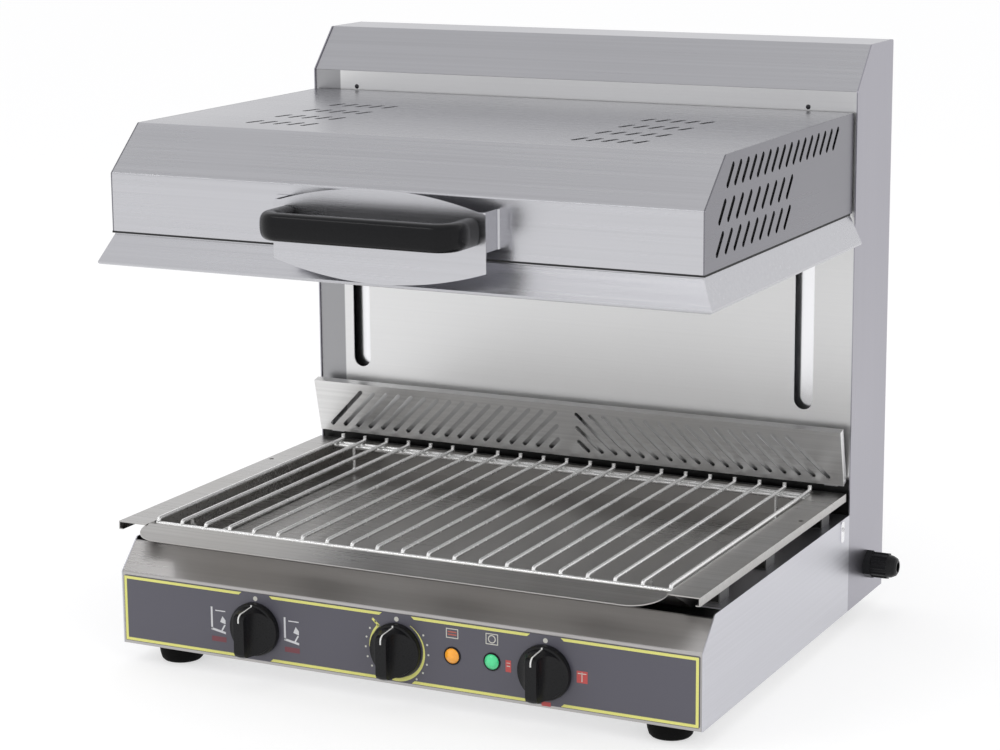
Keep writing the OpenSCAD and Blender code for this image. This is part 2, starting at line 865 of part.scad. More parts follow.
// One half of the flap's slanted slots, in the flap's own plane, as a 2D pattern
module flap_slots() {
    count = floor((flap_half - 14 - slot_edge - 8)/flap_pitch) + 1;
    for (i = [0:count - 1]) {
        foot_x = flap_half - 14 - flap_pitch*i;
        l = min(slot_rise, foot_x - slot_edge)*sqrt(2);
        if (l > 2*flap_slot_w)
            translate([foot_x, slot_foot]) rotate([0, 0, 135])
                translate([l/2, 0]) slot_shape(l, flap_slot_w);
    }
}

// The flap upright, its hinge axis through the origin
module flap_form() {
    top = flap_h - flap_foot;
    difference() {
        union() {
            translate([0, -flap_front, 0]) along_x(2*flap_half) fold([
                [0, -flap_foot], [0, top], [9, top]
            ], -flap_t);
            both_sides() translate([flap_half - flap_t/2, 0, 0]) along_x(flap_t) polygon([
                [-flap_front, 1 - flap_foot], [-flap_front, top], [3, top],
                [3, 24], [3.8, 14], [3.8, 1 - flap_foot]
            ]);
            box(-6, 6, -flap_front, tab_reach, tab_z, tab_z + flap_t);
        }
        both_sides() {
            translate([0, -flap_front - 4, 0]) along_y(8) flap_slots();
            translate([flap_half, 0, 0]) rod_x_axis(pin_r + run_gap, 20);
        }
    }
}

module detection_flap() {
    color(steel) translate([0, pin_y, pin_z]) rotate([flap_lean, 0, 0]) flap_form();
}

bracket_x = flap_half - 9;

bracket_t = 1.5;

// Angle brackets on the tower's panel, each with a round-nosed ear for its pin
module flap_brackets() {
    ear_r = pin_r + 1.8;
    face = panel_y - 0.1;
    color(steel_dark) both_sides() difference() {
        union() {
            box(bracket_x - 14, bracket_x, face - bracket_t, face, pin_z - 8, pin_z + 8);
            translate([bracket_x - bracket_t/2, 0, 0]) along_x(bracket_t) {
                translate([pin_y, pin_z]) circle(r = ear_r);
                translate([pin_y, pin_z - ear_r]) square([face - pin_y, 2*ear_r]);
            }
        }
        translate([bracket_x, pin_y, pin_z]) rod_x_axis(pin_r, 20);
    }
}

module flap_pins() {
    x0 = bracket_x - 4;
    x1 = flap_half + 1;
    color(steel_bright) both_sides() union() {
        translate([(x0 + x1)/2, pin_y, pin_z]) rod_x_axis(pin_r - 0.01, x1 - x0);
        translate([x0 + 0.5, pin_y, pin_z]) rod_x_axis(pin_r + 1.5, 1.5);
    }
}

switch_face_y = pin_y + tab_reach - 1.5;
switch_z = pin_z + tab_z + 3;

module microswitch() {
    color([0.12, 0.12, 0.13]) difference() {
        union() {
            box(-14, 14, switch_face_y, switch_face_y + 16, switch_z - 5, switch_z + 5);
            translate([0, switch_face_y - 1, switch_z]) rod_y(1.6, 2);
        }
        both_sides() translate([9, switch_face_y + 11, switch_z - 8]) cylinder(r = 1.5, h = 16);
    }
}

module microswitch_bracket() {
    z = switch_z - 5;
    color(steel_dark) along_x(34) fold([
        [panel_back_y + 0.1, z - 22], [panel_back_y + 0.1, z - 0.1],
        [switch_face_y + 16, z - 0.1]
    ], -1.5);
}

// ---------- hood ----------

top_rows = 4;
top_per_row = 5;
top_row_pitch = 52;
top_slot_pitch = 14.8;
top_group_x = 168;

module top_vents() {
    y_mid = (hood_y + hood_back_y)/2 - 16;
    for (s = [-1, 1], row = [0:top_rows - 1], i = [0:top_per_row - 1])
        translate([
            s*top_group_x + (i - (top_per_row - 1)/2)*top_slot_pitch,
            y_mid + (row - (top_rows - 1)/2)*top_row_pitch, hood_top - 5
        ])
            rotate([0, 0, 76]) linear_extrude(10) slot_shape(22, 3.4);
}

module hood_top_shell() {
    color(steel) difference() {
        along_x(2*(hood_half - sheet_t - 0.1)) fold(bent([
            [hood_y, hood_z], [hood_y, hood_z + hood_front_h], [hood_y + hood_run, hood_top],
            [hood_back_y, hood_top]
        ]), -sheet_t);
        top_vents();
    }
}

// Rows of slanted vents: first slot's distance behind the hood's front, height, count, pitch
side_rows = [[57, 78.5, 16, 18], [39, 49, 9, 20.5], [34, 22, 9, 20.5]];
side_slot_l = 25;
side_slot_w = 3.6;
side_slant = 51;

module side_vents() {
    for (row = side_rows, i = [0:row[2] - 1])
        translate([hood_y + row[0] + i*row[3], hood_z + row[1]])
            rotate([0, 0, side_slant]) slot_shape(side_slot_l, side_slot_w);
}

module hood_side() {
    color(steel) translate([hood_half - sheet_t/2, 0, 0]) along_x(sheet_t) difference() {
        polygon(concat(
            bent([
                [hood_y, hood_z], [hood_y, hood_z + hood_front_h],
                [hood_y + hood_run, hood_top], [hood_back_y, hood_top]
            ]),
            [[hood_back_y, hood_z]]
        ));
        side_vents();
    }
}

module hood_side_right() { hood_side(); }
module hood_side_left() { mirror([1, 0, 0]) hood_side(); }

arm_inner_z = hood_z + 44;

module hood_back_plate() {
    w = hood_half - sheet_t - 0.1;
    color(steel_dark) difference() {
        box(-w, w, back_plate_y, hood_back_y, hood_z, hood_top - sheet_t - 0.1);
        both_sides()
            box(slot_x - arm_t/2 - 0.1, slot_x + arm_t/2 + 0.1, back_plate_y - 5, hood_back_y + 5,
                arm_inner_z - 0.1, arm_top + 0.1);
    }
}

// The skirt's section: 2D x is the distance inside the hood's face, 2D y is the height
module skirt_section() {
    fold(bent([
        [skirt_in, 10], [skirt_in, -skirt_gap],
        [-skirt_flare, -skirt_gap - skirt_h], [-skirt_flare + 5, -skirt_gap - skirt_h]
    ], 2), sheet_t);
}

module hood_skirt() {
    far = 2*body_w;
    color(steel) union() {
        // Front run, mitred at both ends
        intersection() {
            translate([0, hood_y, hood_z]) along_x(2*(hood_half + skirt_flare)) skirt_section();
            translate([0, hood_y + hood_half, 0]) rotate([0, 0, 45])
                translate([-far, -far, 0]) cube([far, far, far]);
        }
        // Side runs, which end in front of the hood's back plate
        both_sides() difference() {
            translate([hood_half, hood_y - skirt_flare, hood_z])
                along_y(back_plate_y - gap - hood_y + skirt_flare)
                    mirror([1, 0]) skirt_section();
            translate([0, hood_y + hood_half, 0]) rotate([0, 0, 45])
                translate([-far, -far, 0]) cube([far, far, far]);
        }
    }
}

function element_y(i) = pan_y0 + (i + 0.5)*(pan_y1 - pan_y0)/element_count;

module element_pan() {
    rim_front = hood_y + skirt_in + sheet_t + 0.1;
    rim_side = hood_half - skirt_in - sheet_t - 0.1;
    color(steel_bright) difference() {
        union() {
            along_x(2*pan_half) fold([
                [rim_front, pan_z], [pan_y0, pan_z], [pan_y0, pan_top],
                [pan_y1, pan_top], [pan_y1, pan_z], [back_plate_y - 0.1, pan_z]
            ], sheet_t);
            both_sides() {
                box(pan_half - sheet_t, pan_half, pan_y0, pan_y1, pan_z, pan_top);
                box(pan_half - sheet_t, rim_side, rim_front, back_plate_y - 0.1, pan_z, pan_z + sheet_t);
            }
        }
        for (i = [0:element_count - 1])
            translate([0, element_y(i), element_z]) rod_x_axis(element_r + 0.3, 2*hood_half);
    }
}

module heating_elements() {
    color([0.9, 0.88, 0.84]) for (i = [0:element_count - 1])
        translate([0, element_y(i), element_z]) rod_x_axis(element_r, 2*(pan_half + 8));
}

module element_caps() {
    l = 16;
    color([0.92, 0.9, 0.86]) for (i = [0:element_count - 1], s = [-1, 1])
        translate([s*(pan_half + 0.1 + l/2), element_y(i), element_z]) difference() {
            rod_x_axis(element_r + 3, l);
            translate([-s*l/2, 0, 0]) rod_x_axis(element_r + 0.1, 2*8.2);
        }
}

module insulation_board() {
    color([0.88, 0.86, 0.78])
        box(-pan_half + 2, pan_half - 2, pan_y0 + 2, pan_y1 - 2, pan_top + 0.1 + sheet_t,
            pan_top + board_t);
}

module hood_arms() {
    reach = 78;
    color(steel_dark) both_sides() translate([slot_x, 0, 0]) along_x(arm_t)
        polygon([
            [back_plate_y - reach, arm_top], [back_plate_y - reach, arm_inner_z + 20],
            [back_plate_y - 10, arm_inner_z], [hood_back_y + 0.3, arm_inner_z],
            [hood_back_y + 0.3, arm_z], [carriage_y, arm_z], [carriage_y, arm_top]
        ]);
}

window_half = 100;
window_rim = 20;

module carriage() {
    half = slot_x + arm_t/2 + 7;
    color(steel_dark) difference() {
        union() {
            box(-half, half, carriage_y, carriage_y + carriage_t, arm_z, arm_top);
            both_sides() {
                box(rod_x - housing_r, rod_x + housing_r, carriage_y + 1, rod_y, arm_z, arm_top);
                translate([rod_x, rod_y, arm_z]) cylinder(r = housing_r, h = arm_h);
                box(cable_x - lug/2, cable_x + lug/2, carriage_y + 1, cable_front_y + 4,
                    front_lug_z, front_lug_z + lug);
            }
        }
        both_sides() translate([rod_x, rod_y, arm_z - 5]) cylinder(r = bush_r, h = arm_h + 10);
        // Lightening window
        box(-window_half, window_half, carriage_y - 5, carriage_y + 10,
            arm_z + window_rim, arm_top - window_rim);
    }
}

module carriage_bushes() {
    l = 22;
    color([0.72, 0.5, 0.25]) both_sides() for (z = [arm_z, arm_top - l])
        translate([rod_x, rod_y, z]) difference() {
            cylinder(r = bush_r - 0.01, h = l, $fn = 96);
            translate([0, 0, -1]) cylinder(r = rod_r + run_gap, h = l + 2, $fn = 96);
        }
}

// ---------- handle ----------

plate_z = hood_z + 18;
handle_z = plate_z + 10;
arc_rise = (plate_h - plate_end_h)/2;
arc_r = (plate_w*plate_w/4 + arc_rise*arc_rise)/(2*arc_rise);

module handle_plate() {
    color(steel) translate([0, plate_y, plate_z]) along_y(sheet_t) intersection() {
        square([plate_w, plate_h], center = true);
        translate([0, plate_h/2 - arc_r]) circle(r = arc_r, $fn = 360);
        translate([0, arc_r - plate_h/2]) circle(r = arc_r, $fn = 360);
    }
}

module handle_brackets() {
    x = plate_w/2 - 1;
    h = 35;
    color(steel_bright) both_sides()
        translate([0, 0, handle_z - h/2]) linear_extrude(h)
            fold(bent([
                [x - 14, plate_y + sheet_t + 0.1], [x, plate_y + sheet_t + 0.1],
                [x, hood_y - 0.1 - sheet_t], [x + 12, hood_y - 0.1 - sheet_t]
            ], 2), sheet_t);
}

// The grip's section, centred
module grip_section() {
    rounded_shape(grip_d, grip_h, 6.5);
}

module handle() {
    bend = 24 - grip_d/2;
    corner_x = handle_w/2 - grip_d/2 - bend;
    front = plate_y - handle_reach + grip_d/2;
    leg = plate_y - 0.1 - (front + bend);
    color(black) translate([0, 0, handle_z]) {
        translate([0, front, 0]) rotate([90, 0, 90]) translate([0, 0, -corner_x])
            linear_extrude(2*corner_x) grip_section();
        both_sides() {
            translate([corner_x, front + bend, 0]) rotate([0, 0, -90])
                rotate_extrude(angle = 90, $fn = 96) translate([bend, 0]) grip_section();
            translate([corner_x + bend, front + bend, 0]) along_y(leg) grip_section();
        }
    }
}

// ---------- tray and rack ----------

module drip_tray() {
    r = lip_r;
    lip_front = tray_front - lip_run;
    w = well_half;
    color(steel) union() {
        // Front lip, ramp, floor, rear wall and rear flange
        difference() {
            along_x(2*w) fold([
                [lip_front, rim_z - lip_fall], [tray_front, rim_z],
                [tray_front + ramp_run, floor_z], [well_rear, floor_z],
                [well_rear, rim_z], [tray_rear, rim_z]
            ], -tray_t);
            // Rounded corners of the lip
            translate([0, 0, rim_z - 2*lip_fall]) linear_extrude(3*lip_fall)
                for (s = [-1, 1]) difference() {
                    translate([s*(w - r/2 + 1) - r/2 - 1, lip_front - 2]) square([r + 2, r + 2]);
                    translate([s*(w - r), lip_front + r]) circle(r = r, $fn = 96);
                }
        }
        both_sides() {
            // Side wall of the well
            translate([w - tray_t/2, 0, 0]) along_x(tray_t) polygon([
                [tray_front, rim_z - tray_t], [tray_front, rim_z], [tray_rear, rim_z],
                [tray_rear, rim_z - tray_t], [well_rear + tray_t, rim_z - tray_t],
                [well_rear + tray_t, floor_z - tray_t],
                [tray_front + ramp_run - 0.2, floor_z - tray_t]
            ]);
            // Side flange with its turned-down edge and a small hole
            difference() {
                translate([0, tray_front - 6, 0]) along_y(tray_rear - tray_front + 6) fold([
                    [w - tray_t, rim_z], [tray_half, rim_z], [tray_half, rim_z - tray_hem],
                    [tray_half - hem_return - tray_t, rim_z - tray_hem]
                ], -tray_t);
                translate([tray_half - 6, tray_front + 0.7*(tray_rear - tray_front), rim_z - 3])
                    cylinder(r = 2.5, h = 6, $fn = 32);
            }
        }
    }
}

// A wire of radius r through YZ points, its right-angled bends of centre radius b
function wire_trim(p, i, b) = i == 0 || i == len(p) - 1 ? 0 : b;

module bent_wire(p, b, r) {
    for (i = [0:len(p) - 2]) {
        a = unit(p[i + 1] - p[i]);
        q = p[i] + wire_trim(p, i, b)*a;
        l = norm(p[i + 1] - p[i]) - wire_trim(p, i, b) - wire_trim(p, i + 1, b);
        if (l > 0.01) translate([0, q[0], q[1]]) rotate([atan2(-a[0], a[1]), 0, 0])
            cylinder(r = r, h = l, $fn = 32);
    }
    for (i = [1:len(p) - 2]) {
        a = unit(p[i] - p[i - 1]);
        side = sign(turn(p, i));
        start = p[i] - b*a;
        centre = start + side*b*left_of(a);
        from = side > 0 ? start - centre : p[i] + b*unit(p[i + 1] - p[i]) - centre;
        translate([0, centre[0], centre[1]]) rotate([90, 0, 90])
            rotate([0, 0, atan2(from[1], from[0])])
                rotate_extrude(angle = 90, $fn = 48)
                    translate([b, 0]) circle(r = r, $fn = 32);
    }
}

module cross_wire(y, z) {
    translate([0, y, z]) rod_x_axis(cross_r, 2*rack_half + 2*cross_r);
}

// Every wire is a piece of its own; the welded ones lie weld_gap apart
module wire_rack() {
    b = wire_bend;
    end_z = wire_z - b;
    under = wire_z - wire_r - cross_r - weld_gap;
    skid_x = rack_half - wire_pitch;
    skid_rear = rack_rear - 24;
    skid_top = wire_z - wire_r - weld_gap;
    color(steel_bright) {
        // Long wires, bent down onto the front cross wire and up at the rear as a stop
        for (i = [0:wire_count - 1])
            translate([-rack_half + i*wire_pitch, 0, 0])
                bent_wire([
                    [rack_front, end_z], [rack_front, wire_z],
                    [rack_rear, wire_z], [rack_rear, wire_z + rear_hook]
                ], b, wire_r);
        cross_wire(rack_front, end_z - cross_r - weld_gap);
        cross_wire(rack_rear - b - cross_r, under);
        cross_wire(rack_rear - b - 3.5*cross_r - 4, under);
        // Skids, whose legs stand behind the tray's ramp and in front of its rear wall
        both_sides() translate([skid_x, 0, 0])
            bent_wire([
                [skid_front, skid_top], [skid_front, skid_z],
                [skid_rear, skid_z], [skid_rear, skid_top]
            ], 4, skid_r);
    }
}

// ---------- the object ----------

translate([-outline_x, -outline_y, 0]) {
    base_bottom();
    base_side_left();
    base_side_right();
    base_front();
    control_panel();
    heat_shield();
    tray_supports();
    feet();
    tower_side_left();
    tower_side_right();
    tower_front_panel();
    tower_cap();
    rear_cover();
    cover_screws();
    upper_shelf();
    lower_shelf();
    guide_rods();
    slot_backings();
    counterweight_guides();
    cable_wraps();
    cable_gland();
    terminal_block();
    selector_switch();
    power_regulator();
    zone_switch();
    pilot_lamp_orange();
    pilot_lamp_green();
    flap_brackets();
    flap_pins();
    microswitch();
    microswitch_bracket();
    hood_top_shell();
    hood_side_left();
    hood_side_right();
    hood_back_plate();
    hood_skirt();
    element_pan();
    heating_elements();
    element_caps();
    insulation_board();
    hood_arms();
    carriage();
    carriage_bushes();
    cables_front();
    handle();
    handle_plate();
    handle_brackets();
    counterweight();
    cables_rear();
    pulleys();
    pulley_shaft();
    selector_knob();
    selector_shaft();
    power_knob();
    power_shaft();
    zone_knob();
    zone_shaft();
    detection_flap();
    drip_tray();
    wire_rack();
}
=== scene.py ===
# %% [markdown]
# # A rise-and-fall cheese melter, dressed
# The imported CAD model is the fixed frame. Every sheet, wire and moulding already has
# its real size and place there, so this lesson adds what a drawing leaves out: the
# grain of brushed steel, the print on the control panel, the pointers on the knobs
# and the small fasteners. Nothing here moves or resizes a CAD node.

# %% Load the frame
import math
import bpy
import bmesh
from mathutils import Vector, Matrix


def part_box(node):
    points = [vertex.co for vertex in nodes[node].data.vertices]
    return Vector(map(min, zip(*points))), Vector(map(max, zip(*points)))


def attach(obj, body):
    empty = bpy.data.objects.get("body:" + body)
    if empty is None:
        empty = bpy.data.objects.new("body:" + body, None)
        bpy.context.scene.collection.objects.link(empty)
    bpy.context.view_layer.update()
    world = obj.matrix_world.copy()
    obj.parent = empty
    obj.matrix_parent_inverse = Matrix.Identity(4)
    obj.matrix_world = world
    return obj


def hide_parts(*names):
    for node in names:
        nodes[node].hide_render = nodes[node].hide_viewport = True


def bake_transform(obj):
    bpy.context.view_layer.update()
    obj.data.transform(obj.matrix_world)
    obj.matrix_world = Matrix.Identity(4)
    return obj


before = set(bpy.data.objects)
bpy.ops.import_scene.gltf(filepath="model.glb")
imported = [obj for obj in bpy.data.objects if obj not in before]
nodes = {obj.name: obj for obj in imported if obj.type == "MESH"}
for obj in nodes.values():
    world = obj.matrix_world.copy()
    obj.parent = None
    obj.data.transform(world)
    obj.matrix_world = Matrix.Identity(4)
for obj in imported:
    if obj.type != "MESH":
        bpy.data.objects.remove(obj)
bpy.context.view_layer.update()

MM = 0.001

def linked(name, data):
    """A new object in the scene's own collection."""
    thing = bpy.data.objects.new(name, data)
    bpy.context.scene.collection.objects.link(thing)
    return thing

def loose_object(name, verts, edges=(), faces=()):
    """An object made from lists of points, lines and faces."""
    mesh = bpy.data.meshes.new(name)
    mesh.from_pydata(verts, edges, faces)
    return linked(name, mesh)

def circle(x, y, r, sides):
    """Corners of a regular polygon, counter-clockwise."""
    return [(x + r * math.cos(math.tau * k / sides), y + r * math.sin(math.tau * k / sides))
            for k in range(sides)]

# %% [markdown]
# ## Camera
# A product photograph of a machine this size is taken from about two and a half
# metres with a long lens, a little above the top of the hood, so that the edges
# stay nearly parallel. The camera could be aimed with a Track To constraint, but its
# matrix is written from three angles here, because then each angle can be read off.

# %% Place the camera
camera_place = Vector((1.0881, -2.2065, 0.8034))
turn, tip, roll = (math.radians(a) for a in (25.99, -11.77, -0.37))
ahead = Vector((-math.sin(turn) * math.cos(tip), math.cos(turn) * math.cos(tip), math.sin(tip)))
level = Vector((math.cos(turn), math.sin(turn), 0))
over = level.cross(ahead)
right = math.cos(roll) * level + math.sin(roll) * over
up = -math.sin(roll) * level + math.cos(roll) * over
camera_data = bpy.data.cameras.new("camera")
camera_data.lens = 94.02
camera_data.sensor_width = 36
camera_data.shift_x = -0.0197
camera_data.shift_y = -0.0216
camera_data.clip_end = 100
camera = linked("camera", camera_data)
camera.matrix_world = Matrix((
    (right.x, up.x, -ahead.x, camera_place.x),
    (right.y, up.y, -ahead.y, camera_place.y),
    (right.z, up.z, -ahead.z, camera_place.z),
    (0, 0, 0, 1)))
bpy.context.scene.camera = camera
bpy.context.scene.view_settings.view_transform = "Standard"
print("camera", round(camera_place.length, 2), "m from the origin")

# %% [markdown]
# ## Studio
# Steel shows its surroundings more than itself. The room is a pale floor that
# runs out of sight, a ceiling that gets darker straight overhead, and four
# lamps. A picture of a studio could be wrapped round the scene instead, but a short
# ramp on the direction gives the same bands in the sheet and needs no file. The
# broad lamps stay out of the reflections, as screens round a polished object keep
# them out. Only a narrow strip shows, as a bright line along rounded edges.

# %% A floor that stays white to the lens and to steel, and still takes a shadow
def add_node(tree, kind, inputs=None, **settings):
    """One node of a kind. An input is a fixed value or another node's output."""
    node = tree.nodes.new(kind)
    for key, value in settings.items():
        setattr(node, key, value)
    for key, value in (inputs or {}).items():
        if isinstance(value, bpy.types.NodeSocket):
            tree.links.new(value, node.inputs[key])
        else:
            node.inputs[key].default_value = value
    return node

def blend(tree, amount, a, b):
    """A colour between two, by a value from 0 to 1."""
    mix = add_node(tree, "ShaderNodeMix", {"Factor": amount, "A": a, "B": b}, data_type="RGBA")
    return mix.outputs["Result"]

def seen_or_mirrored(tree):
    """1 for the lens, for gloss and for glass, 0 for soft bounced light."""
    path = add_node(tree, "ShaderNodeLightPath")
    total = path.outputs["Is Camera Ray"]
    for socket in ("Is Glossy Ray", "Is Transmission Ray"):
        either = add_node(tree, "ShaderNodeMath", {0: total, 1: path.outputs[socket]},
                          operation="MAXIMUM")
        total = either.outputs[0]
    return total

FLOOR_R, FLOOR_SIDES = 30, 96
ring = [(x, y, 0) for x, y in circle(0, 0, FLOOR_R, FLOOR_SIDES)]
floor = loose_object("floor", ring, faces=[list(range(FLOOR_SIDES))])
floor_paint = bpy.data.materials.new("pale_floor")
floor_paint.use_nodes = True
tree = floor_paint.node_tree
tree.nodes.clear()
matt = add_node(tree, "ShaderNodeBsdfDiffuse", {"Color": (0.52, 0.52, 0.52, 1)})
glow = add_node(tree, "ShaderNodeEmission", {"Color": (0.56, 0.56, 0.56, 1),
                                             "Strength": seen_or_mirrored(tree)})
both = add_node(tree, "ShaderNodeAddShader", {0: matt.outputs[0], 1: glow.outputs[0]})
add_node(tree, "ShaderNodeOutputMaterial", {"Surface": both.outputs[0]})
floor.data.materials.append(floor_paint)
print("floor", FLOOR_SIDES, "sides,", 2 * FLOOR_R, "m across")

# %% A room that darkens overhead
world = bpy.data.worlds.new("studio")
bpy.context.scene.world = world
world.use_nodes = True
tree = world.node_tree
tree.nodes.clear()
where = add_node(tree, "ShaderNodeTexCoord")
split = add_node(tree, "ShaderNodeSeparateXYZ", {0: where.outputs["Generated"]})
ramp = add_node(tree, "ShaderNodeValToRGB", {"Fac": split.outputs["Z"]})
stops = ((0.0, 1.0), (0.2, 0.93), (0.5, 0.90), (0.75, 0.76), (0.9, 0.68), (1.0, 0.60))
for place, tone in stops:
    stop = ramp.color_ramp.elements.new(place)
    stop.color = (tone, tone, tone * 1.01, 1)
ramp.color_ramp.elements.remove(ramp.color_ramp.elements[0])
ramp.color_ramp.elements.remove(ramp.color_ramp.elements[-1])
path = add_node(tree, "ShaderNodeLightPath")
sight = blend(tree, path.outputs["Is Camera Ray"], ramp.outputs["Color"], (1, 1, 1, 1))
sky = add_node(tree, "ShaderNodeBackground", {"Color": sight})
add_node(tree, "ShaderNodeOutputWorld", {"Surface": sky.outputs[0]})
print("room ramp:", len(ramp.color_ramp.elements), "stops")

# %% Three soft lamps and a strip
def soft_lamp(name, place, aim, size, power):
    """A flat lamp aimed at a point. Only the strip shows in polished surfaces."""
    data = bpy.data.lights.new(name, "AREA")
    data.shape = "RECTANGLE"
    data.size, data.size_y = size
    data.energy = power
    lamp = linked(name, data)
    lamp.visible_glossy = name == "lamp_strip"
    lamp.location = place
    lamp.rotation_euler = (Vector(aim) - Vector(place)).to_track_quat("-Z", "Y").to_euler()

soft_lamp("lamp_front_left", (-1.9, -2.3, 1.9), (0, 0, 0.2), (1.6, 1.2), 8)
soft_lamp("lamp_front_right", (2.1, -1.6, 1.6), (0, 0, 0.3), (1.2, 1.2), 7)
soft_lamp("lamp_over", (0.1, -0.3, 2.6), (0, 0, 0.3), (1.8, 1.4), 7)
soft_lamp("lamp_strip", (-0.86, -1.3, 1.95), (0, -0.3, 0.45), (1.3, 0.14), 3)

# %% [markdown]
# ## Finishes
# Almost all of the machine is ferritic or austenitic sheet, belt-ground in one
# direction before it is folded. The grain could be painted with an anisotropic
# shader alone; here a noise that is stretched along the grain moves the tone, the
# roughness and the bump together, so it also shows in a still picture taken head on.

# %% A plain finish, and a grain for it
COAT_ROUGHNESS = 0.12

def shader_of(paint):
    return paint.node_tree.nodes["Principled BSDF"]

def finish(name, colour, metallic, roughness, coat=0.0):
    """A Principled material with its fixed values on the shader's own sockets."""
    paint = bpy.data.materials.new(name)
    paint.use_nodes = True
    shader = shader_of(paint)
    for socket, value in (("Base Color", (*colour, 1)), ("Metallic", metallic),
                          ("Roughness", roughness), ("Coat Weight", coat),
                          ("Coat Roughness", COAT_ROUGHNESS)):
        shader.inputs[socket].default_value = value
    return paint

def noise(tree, stretch, scale, detail):
    """Noise in metres on the piece itself, finer where stretch is larger."""
    where = add_node(tree, "ShaderNodeTexCoord")
    scaled = add_node(tree, "ShaderNodeMapping", {"Vector": where.outputs["Object"],
                                                  "Scale": stretch})
    grain = add_node(tree, "ShaderNodeTexNoise", {
        "Vector": scaled.outputs["Vector"], "Scale": scale, "Detail": detail})
    return grain.outputs["Fac"]

def spread(tree, value, low, high, start=0.3, end=0.7):
    """A noise value turned into a range of numbers."""
    ranged = add_node(tree, "ShaderNodeMapRange", {
        "Value": value, "From Min": start, "From Max": end, "To Min": low, "To Max": high})
    return ranged.outputs["Result"]

def wander(tree, shader, colour, value, contrast):
    """A tone that goes up and down by its contrast with a noise value."""
    dark = tuple(c * (1 - contrast) for c in colour)
    light = tuple(min(1.0, c * (1 + contrast)) for c in colour)
    tones = blend(tree, spread(tree, value, 0, 1), (*dark, 1), (*light, 1))
    tree.links.new(tones, shader.inputs["Base Color"])

def towards(paint, amount, tone):
    """The finish's colour blended towards one tone, by a value from 0 to 1."""
    tree, socket = paint.node_tree, shader_of(paint).inputs["Base Color"]
    tree.links.new(blend(tree, amount, socket.links[0].from_socket, (*tone, 1)), socket)

def dimple(tree, shader, value, strength, depth):
    """The same noise as a fine relief."""
    bump = add_node(tree, "ShaderNodeBump", {"Height": value, "Strength": strength,
                                             "Distance": depth})
    tree.links.new(bump.outputs["Normal"], shader.inputs["Normal"])

print("helpers ready")

# %% Brushed sheet, ground along X, Y or Z, in lit and shaded copies
ALONG, ACROSS = 1.5, 420
GRAIN = {"x": (ALONG, ACROSS, ACROSS), "y": (ACROSS, ALONG, ACROSS),
         "z": (ACROSS, ACROSS, ALONG)}

def brushed(name, colour, along, roughness=0.27, contrast=0.035, smudge=0.03):
    """Belt-ground steel: fine streaks, and broad faint patches left by hands and cloths."""
    paint = finish(name, colour, 1.0, roughness)
    tree, shader = paint.node_tree, shader_of(paint)
    streaks = noise(tree, GRAIN[along], 1.0, 4.0)
    patches = noise(tree, (3.0, 3.0, 3.0), 1.3, 2.0)
    wander(tree, shader, colour, streaks, contrast)
    both = add_node(tree, "ShaderNodeMath", {
        0: spread(tree, patches, roughness - smudge, roughness + smudge),
        1: spread(tree, streaks, -0.02, 0.02)}, operation="ADD")
    tree.links.new(both.outputs[0], shader.inputs["Roughness"])
    dimple(tree, shader, streaks, 0.05, 0.0001)
    return paint

# Painted light and shade: the tones differ part by part, as lit and shaded copies of one stainless
# sheet. The hood's sides and top are painted darker, the back panel and the slot strips lighter.
steel_across = brushed("steel_brushed_across", (0.54, 0.54, 0.565), "x")
steel_cap = brushed("steel_tower_cap", (0.50, 0.50, 0.525), "x", 0.30)
steel_upright = brushed("steel_brushed_upright", (0.37, 0.362, 0.405), "z", 0.32)
steel_deep = brushed("steel_brushed_deep", (0.58, 0.58, 0.62), "y", 0.32)
steel_hood_side_shaded = brushed("steel_hood_side_shaded", (0.215, 0.212, 0.235), "y", 0.30)
steel_hood_top_shaded = brushed("steel_hood_top_shaded", (0.40, 0.40, 0.425), "x")
steel_back = brushed("steel_back_panel", (0.73, 0.73, 0.73), "x", 0.36, 0.015, 0.02)
steel_bright = brushed("steel_bright_strip", (0.84, 0.84, 0.86), "z", 0.20, 0.02)
print("brushed sheets: 8")

# %% [markdown]
# The tray and the flap stand in fat and heat. Their sheet has gone a little brown
# and blotchy, and it is duller than the outside. A second, broader noise tints the
# tone between cold and straw-coloured steel. The tray's well is painted darker than
# its flanges, and its tone falls with the height: painted shade, and a painted
# reflection of the dark back. The tower panel gets a darker strip at its left edge,
# a painted reflection, and a black band of painted shadow under the flap.

# %% Steel that has been hot, with painted shade on the tray and the tower panel
BLOTCH, HOT_SMUDGE = 0.5, 0.04

def heated(name, cold, warm, along, roughness, contrast=0.04):
    """Brushed steel whose tone wanders between cold and warm in broad blotches."""
    paint = brushed(name, cold, along, roughness, contrast, HOT_SMUDGE)
    tree = paint.node_tree
    towards(paint, spread(tree, noise(tree, (1, 1, 1), 7.0, 5.0), 0, BLOTCH), warm)
    return paint

def darker_below(paint, height, depth, tone, axis="Z"):
    """Turn a finish towards one tone as the surface goes below a place on an axis, in metres."""
    tree = paint.node_tree
    where = add_node(tree, "ShaderNodeTexCoord")
    split = add_node(tree, "ShaderNodeSeparateXYZ", {0: where.outputs["Object"]})
    towards(paint, spread(tree, split.outputs[axis], 1, 0, height - depth, height), tone)
    return paint

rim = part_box("drip_tray")[1].z
# Painted shade: the well turns darker below the rim, for its shade and the dark back it mirrors.
steel_tray = darker_below(
    heated("steel_tray", (0.47, 0.465, 0.46), (0.42, 0.40, 0.37), "x", 0.30, 0.16),
    rim - 0.002, 0.008, (0.37, 0.36, 0.35))
steel_flap = heated("steel_flap", (0.76, 0.76, 0.76), (0.66, 0.65, 0.63), "x", 0.36, 0.08)
# Painted reflection: a darker strip along the tower panel's left edge.
darker_below(steel_back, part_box("tower_front_panel")[0].x + 0.030, 0.001, (0.33, 0.33, 0.34), "X")
